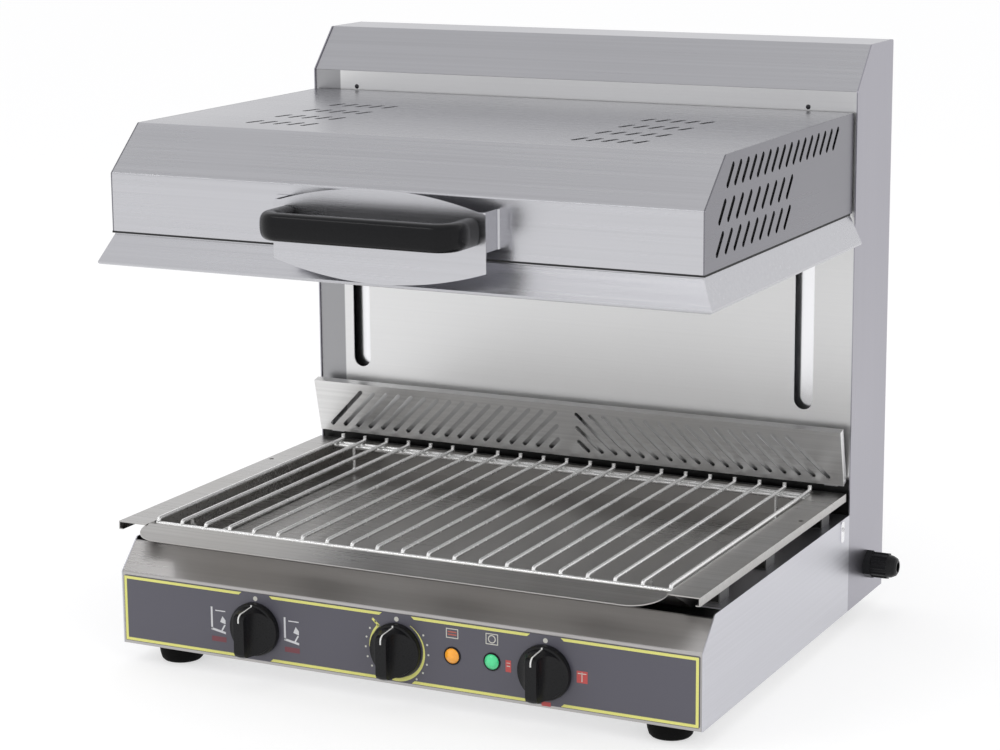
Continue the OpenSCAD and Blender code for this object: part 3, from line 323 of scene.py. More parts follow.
# Painted shadow: the tower panel turns black just above the tray's rim, in the gap under the flap.
darker_below(steel_back, rim + 0.016, 0.004, (0.03, 0.03, 0.03))
# Painted shade: the base slope's tone is a shaded copy of the same sheet, under its blotches.
steel_slope = heated("steel_base_slope", (0.46, 0.45, 0.445), (0.43, 0.41, 0.40), "x", 0.30)
print("heated sheets: 3, tray rim at", round(rim, 4))

# %% [markdown]
# Hidden sheet is left as it comes from the mill: dull, with a soft mottle and no
# grain. Turned parts keep fine rings, wires are polished in a barrel.

# %% Mill sheet, turned parts, wire, cable
def mottled(name, colour, metallic, roughness, scale, contrast, depth=0.0001, coat=0.0):
    """One tone that wanders a little, with a relief of the same size."""
    paint = finish(name, colour, metallic, roughness, coat)
    tree, shader = paint.node_tree, shader_of(paint)
    spots = noise(tree, (1, 1, 1), scale, 4.0)
    wander(tree, shader, colour, spots, contrast)
    tree.links.new(spread(tree, spots, roughness - 0.05, roughness + 0.05),
                   shader.inputs["Roughness"])
    dimple(tree, shader, spots, 0.15, depth)
    return paint

mill_sheet = mottled("mill_sheet", (0.52, 0.52, 0.53), 1.0, 0.42, 60, 0.08)
reflector_sheet = mottled("reflector_sheet", (0.74, 0.74, 0.75), 1.0, 0.22, 25, 0.05)
turned = mottled("turned_steel", (0.66, 0.66, 0.67), 1.0, 0.22, 300, 0.06)
wire_bright = mottled("rack_wire_bright", (0.96, 0.96, 0.95), 0.75, 0.24, 180, 0.04)
# Painted shade: a black for the sheets inside the hood and the strip over the hood's joint.
shade_black = mottled("painted_shade_black", (0.012, 0.012, 0.012), 0.0, 0.7, 90, 0.3)
# Painted shade: the tray's posts are near black, for the shade in the gap under the tray's flange.
post_shade_sheet = mottled("post_shade_sheet", (0.10, 0.10, 0.10), 1.0, 0.5, 60, 0.1)
cable_strand = mottled("cable_strands", (0.50, 0.50, 0.51), 1.0, 0.35, 900, 0.25)
bronze = mottled("sintered_bronze", (0.55, 0.36, 0.16), 1.0, 0.45, 700, 0.15)
iron = mottled("painted_iron", (0.10, 0.105, 0.115), 0.0, 0.5, 220, 0.2, 0.0003)
print("metals: 9")

# %% [markdown]
# Mouldings: the knobs, handle and gland are black thermoset with a satin skin,
# the feet are softer and duller. A very fine grain breaks up the highlight.

# %% Mouldings, ceramics and glass
black_satin = mottled("black_moulding", (0.009, 0.009, 0.010), 0.0, 0.30, 1400, 0.2, 0.00004)
black_grip = mottled("black_grip", (0.008, 0.008, 0.009), 0.0, 0.20, 500, 0.1, 0.00001, 0.08)
rubber = mottled("foot_rubber", (0.006, 0.006, 0.006), 0.0, 0.7, 900, 0.25)
switch_body = mottled("switch_moulding", (0.035, 0.035, 0.04), 0.0, 0.45, 600, 0.15)
terminal_body = mottled("terminal_moulding", (0.78, 0.76, 0.68), 0.0, 0.5, 400, 0.06)
pulley_body = mottled("pulley_moulding", (0.045, 0.045, 0.05), 0.0, 0.4, 500, 0.15)
ceramic = mottled("element_ceramic", (0.80, 0.78, 0.72), 0.0, 0.55, 300, 0.06)
board = mottled("insulation_board", (0.74, 0.71, 0.60), 0.0, 0.9, 120, 0.15, 0.001)
quartz = mottled("quartz_tube", (0.82, 0.80, 0.76), 0.0, 0.18, 90, 0.06, 0.00005, 0.4)
overlay = mottled("panel_overlay", (0.107, 0.104, 0.130), 0.0, 0.42, 1600, 0.07, 0.00004, 0.15)
amber = mottled("lamp_amber", (0.98, 0.40, 0.03), 0.0, 0.2, 200, 0.08, 0.00005, 0.6)
green = mottled("lamp_green_lens", (0.08, 0.72, 0.30), 0.0, 0.2, 200, 0.08, 0.00005, 0.6)
for lens, tone in ((amber, (0.95, 0.36, 0.02)), (green, (0.05, 0.62, 0.24))):
    shader_of(lens).inputs["Emission Color"].default_value = (*tone, 1)
    shader_of(lens).inputs["Emission Strength"].default_value = 0.25
for paint, level in ((black_satin, 0.22), (black_grip, 0.12), (rubber, 0.08)):
    shader_of(paint).inputs["Specular IOR Level"].default_value = level
print("mouldings: 12")

# %% Dress the CAD nodes
dressing = {
    steel_across: ["hood_top_shell", "hood_skirt", "handle_plate", "handle_brackets"],
    steel_cap: ["tower_cap"],
    steel_slope: ["base_front"],
    steel_upright: ["tower_side_left", "tower_side_right", "rear_cover"],
    steel_deep: ["base_side_left", "base_side_right"],
    steel_hood_side_shaded: ["hood_side_left", "hood_side_right"],
    steel_back: ["tower_front_panel"],
    steel_bright: ["slot_backings"],
    steel_tray: ["drip_tray"],
    steel_flap: ["detection_flap"],
    post_shade_sheet: ["tray_supports"],
    mill_sheet: ["base_bottom", "heat_shield", "upper_shelf", "lower_shelf",
                 "counterweight_guides", "flap_brackets", "microswitch_bracket",
                 "hood_back_plate", "hood_arms", "carriage"],
    reflector_sheet: ["element_pan"],
    turned: ["cover_screws", "guide_rods", "flap_pins", "pulley_shaft", "selector_shaft",
             "power_shaft", "zone_shaft"],
    wire_bright: ["wire_rack"],
    cable_strand: ["cable_wraps", "cables_front", "cables_rear"],
    bronze: ["carriage_bushes"],
    iron: ["counterweight"],
    black_satin: ["cable_gland", "selector_knob", "power_knob", "zone_knob"],
    black_grip: ["handle"],
    rubber: ["feet"],
    switch_body: ["selector_switch", "power_regulator", "zone_switch", "microswitch"],
    terminal_body: ["terminal_block"],
    pulley_body: ["pulleys"],
    ceramic: ["element_caps"],
    board: ["insulation_board"],
    quartz: ["heating_elements"],
    overlay: ["control_panel"],
    amber: ["pilot_lamp_orange"],
    green: ["pilot_lamp_green"],
}
dressed = set()
for paint, names in dressing.items():
    for name in names:
        mesh = nodes[name].data
        if not mesh.materials:
            mesh.materials.append(paint)
        for k in range(len(mesh.materials)):
            mesh.materials[k] = paint
        dressed.add(name)
print("dressed", len(dressed), "of", len(nodes), "left:", sorted(set(nodes) - dressed))

# %% [markdown]
# ## Print on the control panel
# The panel carries a film printed from behind. Printed shapes could be a texture,
# but a thin raised sheet for each ink keeps the edge sharp at any distance and needs
# no picture. Every shape is a flat polygon in X and Z, a tenth of a millimetre thick.

# %% Ink as thin plates
panel_low, panel_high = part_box("control_panel")
FACE = panel_low.y
INK_T = 0.12 * MM

def ink(name, colour):
    return mottled(name, colour, 0.0, 0.42, 1500, 0.05, 0.00003, 0.1)

def painted(name, shape, paint=None, smooth=False):
    """An object from a bmesh. Only four-cornered faces can be shaded smooth."""
    mesh = bpy.data.meshes.new(name)
    shape.to_mesh(mesh)
    shape.free()
    for polygon in mesh.polygons:
        polygon.use_smooth = smooth and len(polygon.vertices) == 4
    if paint:
        mesh.materials.append(paint)
    return linked(name, mesh)

def settled(piece, body):
    """The piece rides on a body."""
    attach(piece, body)
    return piece

def printed(name, shapes, paint, face=FACE, thick=INK_T):
    """Flat polygons (x, z in mm) as thin plates standing on the panel's face."""
    shape = bmesh.new()
    for points in shapes:
        area = sum(a[0] * b[1] - b[0] * a[1] for a, b in zip(points, points[1:] + points[:1]))
        points = points if area > 0 else points[::-1]
        front = [shape.verts.new((x * MM, face - thick, z * MM)) for x, z in points]
        back = [shape.verts.new((x * MM, face, z * MM)) for x, z in points]
        shape.faces.new(front)
        for a, b, c, d in zip(front, back, back[1:] + back[:1], front[1:] + front[:1]):
            shape.faces.new((a, b, c, d))
    settled(painted(name, shape, paint), "body")

def bar(x0, x1, z0, z1):
    return [(x0, z0), (x1, z0), (x1, z1), (x0, z1)]

print("panel face at y", round(FACE / MM, 1), "mm")

# %% Where the knobs and lamps are
def middle(node):
    low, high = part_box(node)
    return (low.x + high.x) / 2 / MM, (low.z + high.z) / 2 / MM

def half_width(node):
    low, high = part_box(node)
    return (high.x - low.x) / 2 / MM

knob_at = {body: middle(body + "_knob") for body in ("selector", "power", "zone")}
knob_r = half_width("zone_knob")
lamp_at = [middle("pilot_lamp_orange"), middle("pilot_lamp_green")]
print("knobs", knob_at, "radius", round(knob_r, 1), "lamps", lamp_at)

# %% The border line, broken above and below each knob
yellow = ink("ink_yellow", (0.93, 0.91, 0.27))
# In mm: distance from the panel's edge, width, half a gap at a knob, slant of its ends.
EDGE, LINE, GAP, SLANT = 0.6, 2.7, 15, 3
left, rightmost = panel_low.x / MM + EDGE, panel_high.x / MM - EDGE
bottom, top = panel_low.z / MM + EDGE, panel_high.z / MM - EDGE
knob_x = sorted(x for x, z in knob_at.values())

def border(z0, z1, pointing):
    """Runs of the line between the knobs, with ends cut on the slant."""
    stops = [left] + [s for x in knob_x for s in (x - GAP, x + GAP)] + [rightmost]
    runs = []
    for a, b in zip(stops[::2], stops[1::2]):
        cut_a, cut_b = SLANT * (a != left), SLANT * (b != rightmost)
        runs.append([(a + cut_a * (pointing < 0), z0), (b - cut_b * (pointing < 0), z0),
                     (b - cut_b * (pointing > 0), z1), (a + cut_a * (pointing > 0), z1)])
    return runs

frame_line = border(top - LINE, top, -1) + border(bottom, bottom + LINE, 1)
frame_line += [bar(left, left + LINE, bottom + LINE, top - LINE),
               bar(rightmost - LINE, rightmost, bottom + LINE, top - LINE)]
printed("print_border", frame_line, yellow)
print("border pieces:", len(frame_line))

# %% [markdown]
# ## Scale dots
# Round the heat knob stand small dots, evenly spaced on an arc. They repeat by a
# rule, so Geometry Nodes make them: an arc gives the points, a short disc stands on
# each, and the tree ends in Realize Instances and Set Material. Moving the dots later
# is a matter of two angles and a radius.

# %% A tree with named inputs, and its result as a plain mesh
def new_tree(name, inputs):
    """A node tree with a geometry in and out and the named inputs (name, kind)."""
    tree = bpy.data.node_groups.new(name, "GeometryNodeTree")
    tree.interface.new_socket("Geometry", in_out="INPUT", socket_type="NodeSocketGeometry")
    for label, kind in inputs:
        tree.interface.new_socket(label, in_out="INPUT", socket_type="NodeSocket" + kind)
    tree.interface.new_socket("Geometry", in_out="OUTPUT", socket_type="NodeSocketGeometry")
    return tree, tree.nodes.new("NodeGroupInput"), tree.nodes.new("NodeGroupOutput")

def close_tree(tree, start, end, geometry, smooth=False):
    """Realize, shade and paint: the last three nodes of every tree here."""
    real = add_node(tree, "GeometryNodeRealizeInstances", {0: geometry})
    shade = add_node(tree, "GeometryNodeSetShadeSmooth", {"Geometry": real.outputs[0],
                                                          "Shade Smooth": smooth})
    paint = add_node(tree, "GeometryNodeSetMaterial", {
        "Geometry": shade.outputs[0], "Material": start.outputs["Material"]})
    tree.links.new(paint.outputs[0], end.inputs[0])
    print(tree.name, "has", len(tree.nodes), "nodes")

def evaluated(thing):
    """The mesh that an object's modifiers give."""
    view = bpy.context.evaluated_depsgraph_get()
    return bpy.data.meshes.new_from_object(thing.evaluated_get(view))

def grown(name, tree, verts, edges, values, body, faces=()):
    """Run a tree on points, lines or faces and keep the result as one plain mesh."""
    seed = loose_object(name + "_seed", verts, edges, faces)
    maker = seed.modifiers.new("maker", "NODES")
    maker.node_group = tree
    for socket in tree.interface.items_tree:
        if socket.in_out == "INPUT" and socket.name in values:
            maker[socket.identifier] = values[socket.name]
    seed.update_tag()
    mesh = evaluated(seed)
    mesh.name = name
    mesh.materials.clear()
    mesh.materials.append(values["Material"])
    for polygon in mesh.polygons:
        polygon.material_index = 0
    bpy.data.objects.remove(seed)
    print(name, len(mesh.polygons), "faces")
    return settled(linked(name, mesh), body)

# %% The dots' tree
dot_tree, start, end = new_tree("dots_on_an_arc", [
    ("Dots", "Int"), ("Arc radius", "Float"), ("First angle", "Float"), ("Sweep", "Float"),
    ("Dot radius", "Float"), ("Dot height", "Float"), ("Middle", "Vector"),
    ("Material", "Material")])
given = start.outputs
arc = add_node(dot_tree, "GeometryNodeCurveArc", {
    "Resolution": given["Dots"], "Radius": given["Arc radius"],
    "Start Angle": given["First angle"], "Sweep Angle": given["Sweep"]})
points = add_node(dot_tree, "GeometryNodeCurveToPoints", {"Curve": arc.outputs[0]},
                  mode="EVALUATED")
dot = add_node(dot_tree, "GeometryNodeMeshCylinder", {
    "Vertices": 16, "Radius": given["Dot radius"], "Depth": given["Dot height"]})
stand = add_node(dot_tree, "GeometryNodeInstanceOnPoints", {
    "Points": points.outputs["Points"], "Instance": dot.outputs["Mesh"]})
place = add_node(dot_tree, "GeometryNodeTransform", {
    "Geometry": stand.outputs[0], "Translation": given["Middle"],
    "Rotation": (math.pi / 2, 0, 0)})
close_tree(dot_tree, start, end, place.outputs[0])

# %% Dots on both sides of the heat knob
pale = ink("ink_pale", (0.74, 0.73, 0.66))
red = ink("ink_red", (0.62, 0.09, 0.085))
dim_red = ink("ink_dark_red", (0.20, 0.055, 0.07))
x, z = knob_at["power"]
for side, first in (("right", -52), ("left", 132)):
    grown("print_dots_" + side, dot_tree, [(0, 0, 0)], [], {
        "Dots": 6, "Arc radius": (knob_r + 7.0) * MM, "First angle": math.radians(first),
        "Sweep": math.radians(84), "Dot radius": 1.0 * MM, "Dot height": 0.2 * MM,
        "Middle": (x * MM, FACE - 0.02 * MM, z * MM), "Material": pale},
        "body")

# %% [markdown]
# The other marks are drawn shape by shape: a dot over each knob, a band that swells
# as the heat rises, plain squares round the zone knob, and simple signs for the two
# lamps and the two positions of the left knob.

# %% Marks round the knobs
dots = [circle(x, z + knob_r + 3.4, 2.3, 24) for x, z in knob_at.values()]
printed("print_dots_over_knobs", dots, pale)

def swept_arc(x, z, r, a0, a1, w0, w1, steps=36):
    """A band round a knob whose width grows from w0 to w1, angles clockwise from the top."""
    outer, inner = [], []
    for k in range(steps + 1):
        a = math.radians(a0 + (a1 - a0) * k / steps)
        w = w0 + (w1 - w0) * k / steps
        outer.append((x + (r + w / 2) * math.sin(a), z + (r + w / 2) * math.cos(a)))
        inner.append((x + (r - w / 2) * math.sin(a), z + (r - w / 2) * math.cos(a)))
    return [[outer[k], outer[k + 1], inner[k + 1], inner[k]] for k in range(steps)]

def tilted_bar(x, z, angle, length, width):
    """A bar that starts at a point and leaves it at an angle clockwise from the top."""
    a = math.radians(angle)
    run, side = (math.sin(a), math.cos(a)), (math.cos(a) * width / 2, -math.sin(a) * width / 2)
    far = (x + run[0] * length, z + run[1] * length)
    return [(x - side[0], z - side[1]), (x + side[0], z + side[1]),
            (far[0] + side[0], far[1] + side[1]), (far[0] - side[0], far[1] - side[1])]

x, z = knob_at["power"]
a, hand_r = math.radians(-42), knob_r + 2
hand = tilted_bar(x + hand_r * math.sin(a), z + hand_r * math.cos(a), -48, 9, 2.2)
printed("print_power_band", swept_arc(x, z, knob_r + 2.6, 30, 190, 0.4, 4.6)
        + swept_arc(x, z, knob_r + 2.4, -92, -42, 1.6, 2.4, 14) + [hand], yellow)
x, z = knob_at["zone"]
printed("print_zone_marks", [bar(x - 39.5, x - 34, z - 5.5, z + 5.5),
                             bar(x + 30.5, x + 41, z - 5.5, z + 5.5),
                             bar(x - 4, x + 5, z - knob_r - 6.5, z - knob_r - 2.5)], red)
printed("print_zone_lines", [bar(x - 38.4, x - 35, z - 0.4, z + 0.4),
                             bar(x - 38.4, x - 35, z + 2.6, z + 3.2),
                             bar(x + 31.6, x + 39.8, z + 2.8, z + 3.6),
                             bar(x + 35.2, x + 36, z - 4.4, z + 4.4)],
        pale, FACE - INK_T, INK_T / 2)

# %% Signs by the left knob and over the lamps
x, z = knob_at["selector"]
signs, under = [], []
for at in (x - 40, x + 40):
    signs += [bar(at - 9.5, at - 7.6, z - 6.5, z + 15),
              [(at - 9.5, z - 7.4), (at + 6.5, z - 10.4),
               (at + 6.5, z - 8.2), (at - 9.5, z - 5.2)],
              [(at + 0.5, z + 1.0), (at + 6.5, z - 0.6),
               (at + 6.5, z + 3.2), (at + 3.2, z + 7.0)],
              bar(at - 4.5, at + 6.5, z + 11.4, z + 12.4),
              [(at + 1.5, z - 7.2), (at + 3.1, z - 7.5),
               (at + 6.5, z - 1.6), (at + 4.9, z - 1.2)]]
    under += [bar(at - 9, at + 7, z - 18.5, z - 13.5)]
printed("print_position_signs", signs, ink("ink_white", (0.80, 0.80, 0.82)))
printed("print_position_marks", under, dim_red)

def outline(x, z, w, h, line):
    """The four sides of a rectangle as thin bars."""
    return [bar(x - w, x + w, z + h - line, z + h), bar(x - w, x + w, z - h, z - h + line),
            bar(x - w, x - w + line, z - h + line, z + h - line),
            bar(x + w - line, x + w, z - h + line, z + h - line)]

SIGN_LIFT = 21
(ax, az), (gx, gz) = ((x, z + SIGN_LIFT) for x, z in lamp_at)
printed("print_lamp_signs", outline(ax, az, 6.2, 4.6, 0.8) + outline(gx, gz, 6.2, 5.2, 0.8)
        + swept_arc(gx, gz, 3.4, 0, 360, 0.9, 0.9, 24), pale)
printed("print_lamp_bars", [bar(ax - 4.4, ax + 4.4, az + 0.8, az + 2.0),
                            bar(ax - 4.4, ax + 4.4, az - 1.8, az - 0.6)],
        ink("ink_signal_red", (0.55, 0.14, 0.10)))
print("lamp signs at", round(ax, 1), round(gx, 1))

# %% [markdown]
# ## Pointers
# A white line is filled into a groove over each knob's end, so that the setting can
# be read from the front and from above. It follows the moulding's section: up the
# side, over the rounded edge and onto the grip. The strip is lofted point by point
# along that section; a shrinkwrapped plane would do as well, but needs a clean mesh.

# %% A line over the edge of each knob
pointer_white = ink("pointer_white", (0.82, 0.82, 0.80))
POINTER_W, POINTER_T = 1.5, 0.25

def strip_over(line, x):
    """Rings of a thin strip along points (y, z) in mm, of even thickness, across x."""
    half = POINTER_W / 2
    rings = []
    for k, (y, z) in enumerate(line):
        before, after = line[max(k - 1, 0)], line[min(k + 1, len(line) - 1)]
        along = Vector((after[0] - before[0], after[1] - before[1])).normalized()
        out = Vector((along.y, -along.x)) * POINTER_T
        rings.append([((x + dx) * MM, (y + out.x * lift) * MM, (z + out.y * lift) * MM)
                      for dx, lift in ((-half, 0), (half, 0), (half, 1), (-half, 1))])
    return rings

def lofted(name, skins, paint, smooth=False):
    """Closed skins, each through a row of equal rings of points in metres."""
    shape = bmesh.new()
    for rings in skins:
        rings = [[shape.verts.new(point) for point in ring] for ring in rings]
        for a, b in zip(rings, rings[1:]):
            for k in range(len(a)):
                j = (k + 1) % len(a)
                shape.faces.new((a[k], a[j], b[j], b[k]))
        shape.faces.new(rings[0][::-1])
        shape.faces.new(rings[-1])
    bmesh.ops.recalc_face_normals(shape, faces=shape.faces)
    return painted(name, shape, paint, smooth)

for body in ("selector", "power", "zone"):
    low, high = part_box(body + "_knob")
    (x, z), front, back = knob_at[body], low.y / MM, high.y / MM
    section = [(back - 6.4, z + knob_r - 0.9), (back - 7.1, z + knob_r - 2.6),
               (front + 4, z + knob_r - 4.2), (front + 1.2, z + knob_r - 6),
               (front + 0.05, z + knob_r - 8.5), (front - 0.02, z + knob_r - 12)]
    strip = lofted("pointer_" + body, [strip_over(section, x)], pointer_white)
    settled(strip, body)
print("pointers: 3")

# %% [markdown]
# ## Vents in the hood
# Slots are punched in the flat sheet before it is folded, on a fixed pitch. The
# sides and the top are copies of the CAD sheets, merged because those are loose
# triangles, and a tree punches them: it stands the punch on every point and takes
# the whole row away with one Mesh Boolean. The punch is a little wider than the
# CAD's slot, since the burr is ground off and the edge rounds over.

# %% The tree that punches a sheet
punch_tree, start, end = new_tree("punched_sheet", [
    ("Punch", "Object"), ("Places", "Object"), ("Material", "Material")])
given = start.outputs
punch_info = add_node(punch_tree, "GeometryNodeObjectInfo", {"Object": given["Punch"]})
place_info = add_node(punch_tree, "GeometryNodeObjectInfo", {"Object": given["Places"]})
stand = add_node(punch_tree, "GeometryNodeInstanceOnPoints", {
    "Points": place_info.outputs["Geometry"], "Instance": punch_info.outputs["Geometry"]})
solid = add_node(punch_tree, "GeometryNodeRealizeInstances", {0: stand.outputs[0]})
cut = add_node(punch_tree, "GeometryNodeMeshBoolean", {
    "Mesh 1": given["Geometry"], "Mesh 2": solid.outputs[0]},
    operation="DIFFERENCE", solver="EXACT")
close_tree(punch_tree, start, end, cut.outputs[0])

# %% Punches and places
PUNCH_DEPTH = 6.0

def stadium(length, width, lean, sides=8):
    """A slot's outline about its middle, leaning by an angle in degrees."""
    r, points = width / 2, []
    for end_sign, first in ((1, -90), (-1, 90)):
        for k in range(sides + 1):
            a = math.radians(first + 180 * k / sides)
            points.append((end_sign * (length / 2 - r) + r * math.cos(a), r * math.sin(a)))
    c, s = math.cos(math.radians(lean)), math.sin(math.radians(lean))
    return [(u * c - v * s, u * s + v * c) for u, v in points]

def punch(name, length, width, lean, axis):
    """A slot-shaped prism along X (for a side) or Z (for the top), sizes in mm."""
    verts = []
    for d in (-PUNCH_DEPTH / 2, PUNCH_DEPTH / 2):
        for u, v in stadium(length, width, lean):
            point = (d, u, v) if axis == "x" else (u, v, d)
            verts.append(tuple(c * MM for c in point))
    n = len(verts) // 2
    faces = [list(range(n))[::-1], list(range(n, 2 * n))]
    faces += [[k, (k + 1) % n, n + (k + 1) % n, n + k] for k in range(n)]
    return loose_object(name, verts, faces=faces)

def punched(name, node, cutter, places, paint):
    """A merged copy of a CAD sheet with the punch taken out at every place."""
    shape = bmesh.new()
    shape.from_mesh(nodes[node].data)
    bmesh.ops.remove_doubles(shape, verts=shape.verts, dist=1e-6)
    verts = [v.co[:] for v in shape.verts]
    faces = [[v.index for v in f.verts] for f in shape.faces]
    shape.free()
    points = loose_object(name + "_places", places)
    piece = grown(name, punch_tree, verts, [], {"Punch": cutter, "Places": points,
                  "Material": paint}, "hood", faces)
    bpy.data.objects.remove(points)
    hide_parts(node)
    return piece

# %% Both sides and the top
low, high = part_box("hood_side_right")
# A row is its first slot and its height in mm, the number of slots and their pitch.
side_rows = ((57, 78.5, 16, 18), (39, 49, 9, 20.5), (34, 22, 9, 20.5))
side_punch = punch("side_punch", 26, 5.4, 51, "x")
for side in ("left", "right"):
    node = "hood_side_" + side
    a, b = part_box(node)
    places = [((a.x + b.x) / 2, low.y + (first + k * pitch) * MM, low.z + height * MM)
              for first, height, count, pitch in side_rows for k in range(count)]
    punched("hood_side_punched_" + side, node, side_punch, places, steel_hood_side_shaded)
a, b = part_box("hood_top_shell")
mid_x, mid_y = (a.x + b.x) / 2, (a.y + b.y) / 2 - 16 * MM
top_punch = punch("top_punch", 23, 5.2, 76, "z")
places = [(mid_x + (s * 168 + (i - 2) * 14.8) * MM, mid_y + (row - 1.5) * 52 * MM,
           b.z - 0.6 * MM) for s in (-1, 1) for row in range(4) for i in range(5)]
top = punched("hood_top_punched", "hood_top_shell", top_punch, places, steel_across)
# Painted shade: the top faces of the punched shell take the darker copy of the sheet.
top.data.materials.append(steel_hood_top_shaded)
for polygon in top.data.polygons:
    if polygon.normal.z > 0.9 and polygon.center.z > b.z - 0.1 * MM:
        polygon.material_index = 1
for thing in (side_punch, top_punch):
    bpy.data.objects.remove(thing)
print("slots:", 2 * sum(row[2] for row in side_rows) + len(places))

# %% [markdown]
# Behind the vents hang three flat black sheets a few millimetres inside the shell:
# painted shade, so the slots look black. A black strip along the joint between hood
# and skirt is painted shadow for the gap there.

# %% Black inner sheets, and a black strip above the skirt: painted shade
hood_low, hood_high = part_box("hood_side_left")[0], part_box("hood_side_right")[1]
inset, t = 5 * MM, 0.8 * MM
y0, y1 = hood_low.y + inset, hood_high.y - 6 * MM
z0, z1 = hood_low.z + 12 * MM, hood_high.z - inset
side_ring = [(y0, z0), (y0, hood_low.z + 53 * MM), (hood_low.y + 49 * MM, z1), (y1, z1), (y1, z0)]
# Painted shade: black sheets inside the hood, so the slots look black.
inner_shade = []
for x in (hood_low.x + inset, hood_high.x - inset - t):
    inner_shade.append([[(x, y, z) for y, z in side_ring], [(x + t, y, z) for y, z in side_ring]])
x0, x1 = hood_low.x + inset + 2 * t, hood_high.x - inset - 2 * t
top_ring = bar(x0, x1, hood_low.y + 52 * MM, y1)
inner_shade.append([[(x, y, z1 - t) for x, y in top_ring], [(x, y, z1) for x, y in top_ring]])
settled(lofted("hood_inner_shield", inner_shade, shade_black), "hood")

# Painted shadow: a black strip stands proud along the joint, where the gap is in shade.
z0, z1 = hood_low.z - 1.0 * MM, hood_low.z + 0.7 * MM

def shadow_gap_block(x0, x1, y0, y1):
    return [[(x, y, z) for x, y in bar(x0, x1, y0, y1)] for z in (z0, z1)]

PROUD, INTO = 0.35 * MM, 0.6 * MM
left_out, right_out, front_in = hood_low.x - PROUD, hood_high.x + PROUD, hood_low.y + INTO
shadow_gap = lofted("hood_seam", [
    shadow_gap_block(left_out, right_out, hood_low.y - PROUD, front_in),
    shadow_gap_block(left_out, hood_low.x + INTO, front_in, y1),
    shadow_gap_block(hood_high.x - INTO, right_out, front_in, y1)], shade_black)
settled(shadow_gap, "hood")
print("shield sheets:", len(inner_shade))

# %% [markdown]
# ## Lifting cables
# Two cables run up from the carriage, over the pulleys and down to the counterweight.
# As the hood moves, one run gets longer by what the other loses. Here each run is
# lofted as a rigid upright tube in the place of the CAD node. A shape key on a driver
# could let it stretch, but drivers don't leave Blender.

# %% Runs between a pulley and a moving end
CABLE_SIDES, CABLE_STEPS = 12, 8

def cable_runs(name, node):
    """Two upright cables in the place of a CAD node."""
    low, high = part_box(node)
    r, y = (high.y - low.y) / 2, (low.y + high.y) / 2
    levels = [low.z + (high.z - low.z) * k / CABLE_STEPS for k in range(CABLE_STEPS + 1)]
    runs = [[[(u, v, z) for u, v in circle(x, y, r, CABLE_SIDES)] for z in levels]
            for x in (low.x + r, high.x - r)]
    piece = lofted(name, runs, cable_strand, smooth=True)
    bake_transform(piece)
    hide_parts(node)

cable_runs("cable_run_front", "cables_front")
cable_runs("cable_run_rear", "cables_rear")

# %% [markdown]
# ## The grip
# The grip is a moulded bow with a soft, almost oval section, and it shines where it
# is rounded. A section is carried along the bow's line ring by ring, which keeps the
# corners clean. A curve with a bevel object would do the same, with less control
# of which way the section stands.

# %% A bow with an oval section
grip_low, grip_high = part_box("handle")
GRIP_D, CORNER, SQUARENESS = 18 * MM, 24 * MM, 0.72
half_h, r_mid = (grip_high.z - grip_low.z) / 2, CORNER - GRIP_D / 2
x_leg, y_front = (grip_high.x - grip_low.x) / 2 - GRIP_D / 2, grip_low.y + GRIP_D / 2
mid_x, mid_z = (grip_low.x + grip_high.x) / 2, (grip_low.z + grip_high.z) / 2

line = [(-x_leg, grip_high.y, -1, 0)]
for k in range(13):
    a = math.pi * (1 + k / 24)
    c, s = math.cos(a), math.sin(a)
    line.append((-x_leg + r_mid + r_mid * c, y_front + r_mid + r_mid * s, c, s))
line += [(-x, y, -nx, ny) for x, y, nx, ny in line[::-1]]
oval = [(math.copysign(abs(c) ** SQUARENESS, c) * GRIP_D / 2,
         math.copysign(abs(s) ** SQUARENESS, s) * half_h) for c, s in circle(0, 0, 1, 40)]
rings = [[(mid_x + x + nx * u, y + ny * u, mid_z + v) for u, v in oval]
         for x, y, nx, ny in line]
grip = settled(lofted("grip_bow", [rings], black_grip, smooth=True), "hood")
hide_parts("handle")
print("grip rings:", len(line), "of", len(oval))

# %% [markdown]
# ## Lamp bezels
# Each lens snaps into a black ring. The ring is a short profile turned about the
# lamp's axis with bmesh's spin, and the last step is merged into the first, so the
# ring is closed. The Screw modifier would give the same shape.

# %% Two turned rings
def spun(profile, axis, steps, closed):
    """A bmesh of a line of points turned once about an axis through the origin."""
    shape = bmesh.new()
    verts = [shape.verts.new(point) for point in profile]
    ends = verts[1:] + verts[:1] if closed else verts[1:]
    edges = [shape.edges.new(pair) for pair in zip(verts, ends)]
    bmesh.ops.spin(shape, geom=verts + edges, cent=(0, 0, 0), axis=axis,
                   angle=math.tau, steps=steps)
    bmesh.ops.remove_doubles(shape, verts=shape.verts, dist=1e-6)
    bmesh.ops.recalc_face_normals(shape, faces=shape.faces)
    return shape

lens_r = half_width("pilot_lamp_orange")
# Radius beyond the lens, and distance in front of the panel, in mm.
bezel = ((0.05, 0.02), (1.5, 0.02), (1.45, 0.7), (0.9, 1.15), (0.05, 1.0))
for name, (x, z) in zip(("bezel_orange", "bezel_green"), lamp_at):
    shape = spun([(0, FACE - out * MM, (lens_r + r) * MM) for r, out in bezel],
                 (0, 1, 0), 48, closed=True)
    bmesh.ops.translate(shape, verts=shape.verts, vec=(x * MM, 0, z * MM))
    settled(painted(name, shape, black_satin, smooth=True), "body")
print("bezels round lenses of", round(lens_r, 1), "mm")

# %% [markdown]
# ## The wire rack
# The rack is made of equal wires that stand side by side, welded onto two cross
# wires at the rear and one in front, with two bent skids below. One drawn line is
# enough for each kind of wire: the tree rounds its corners with Fillet Curve, sweeps
# a circle along it, and repeats it along a step. An Array modifier could repeat a
# modelled wire, but then the bend could not be changed by one number.

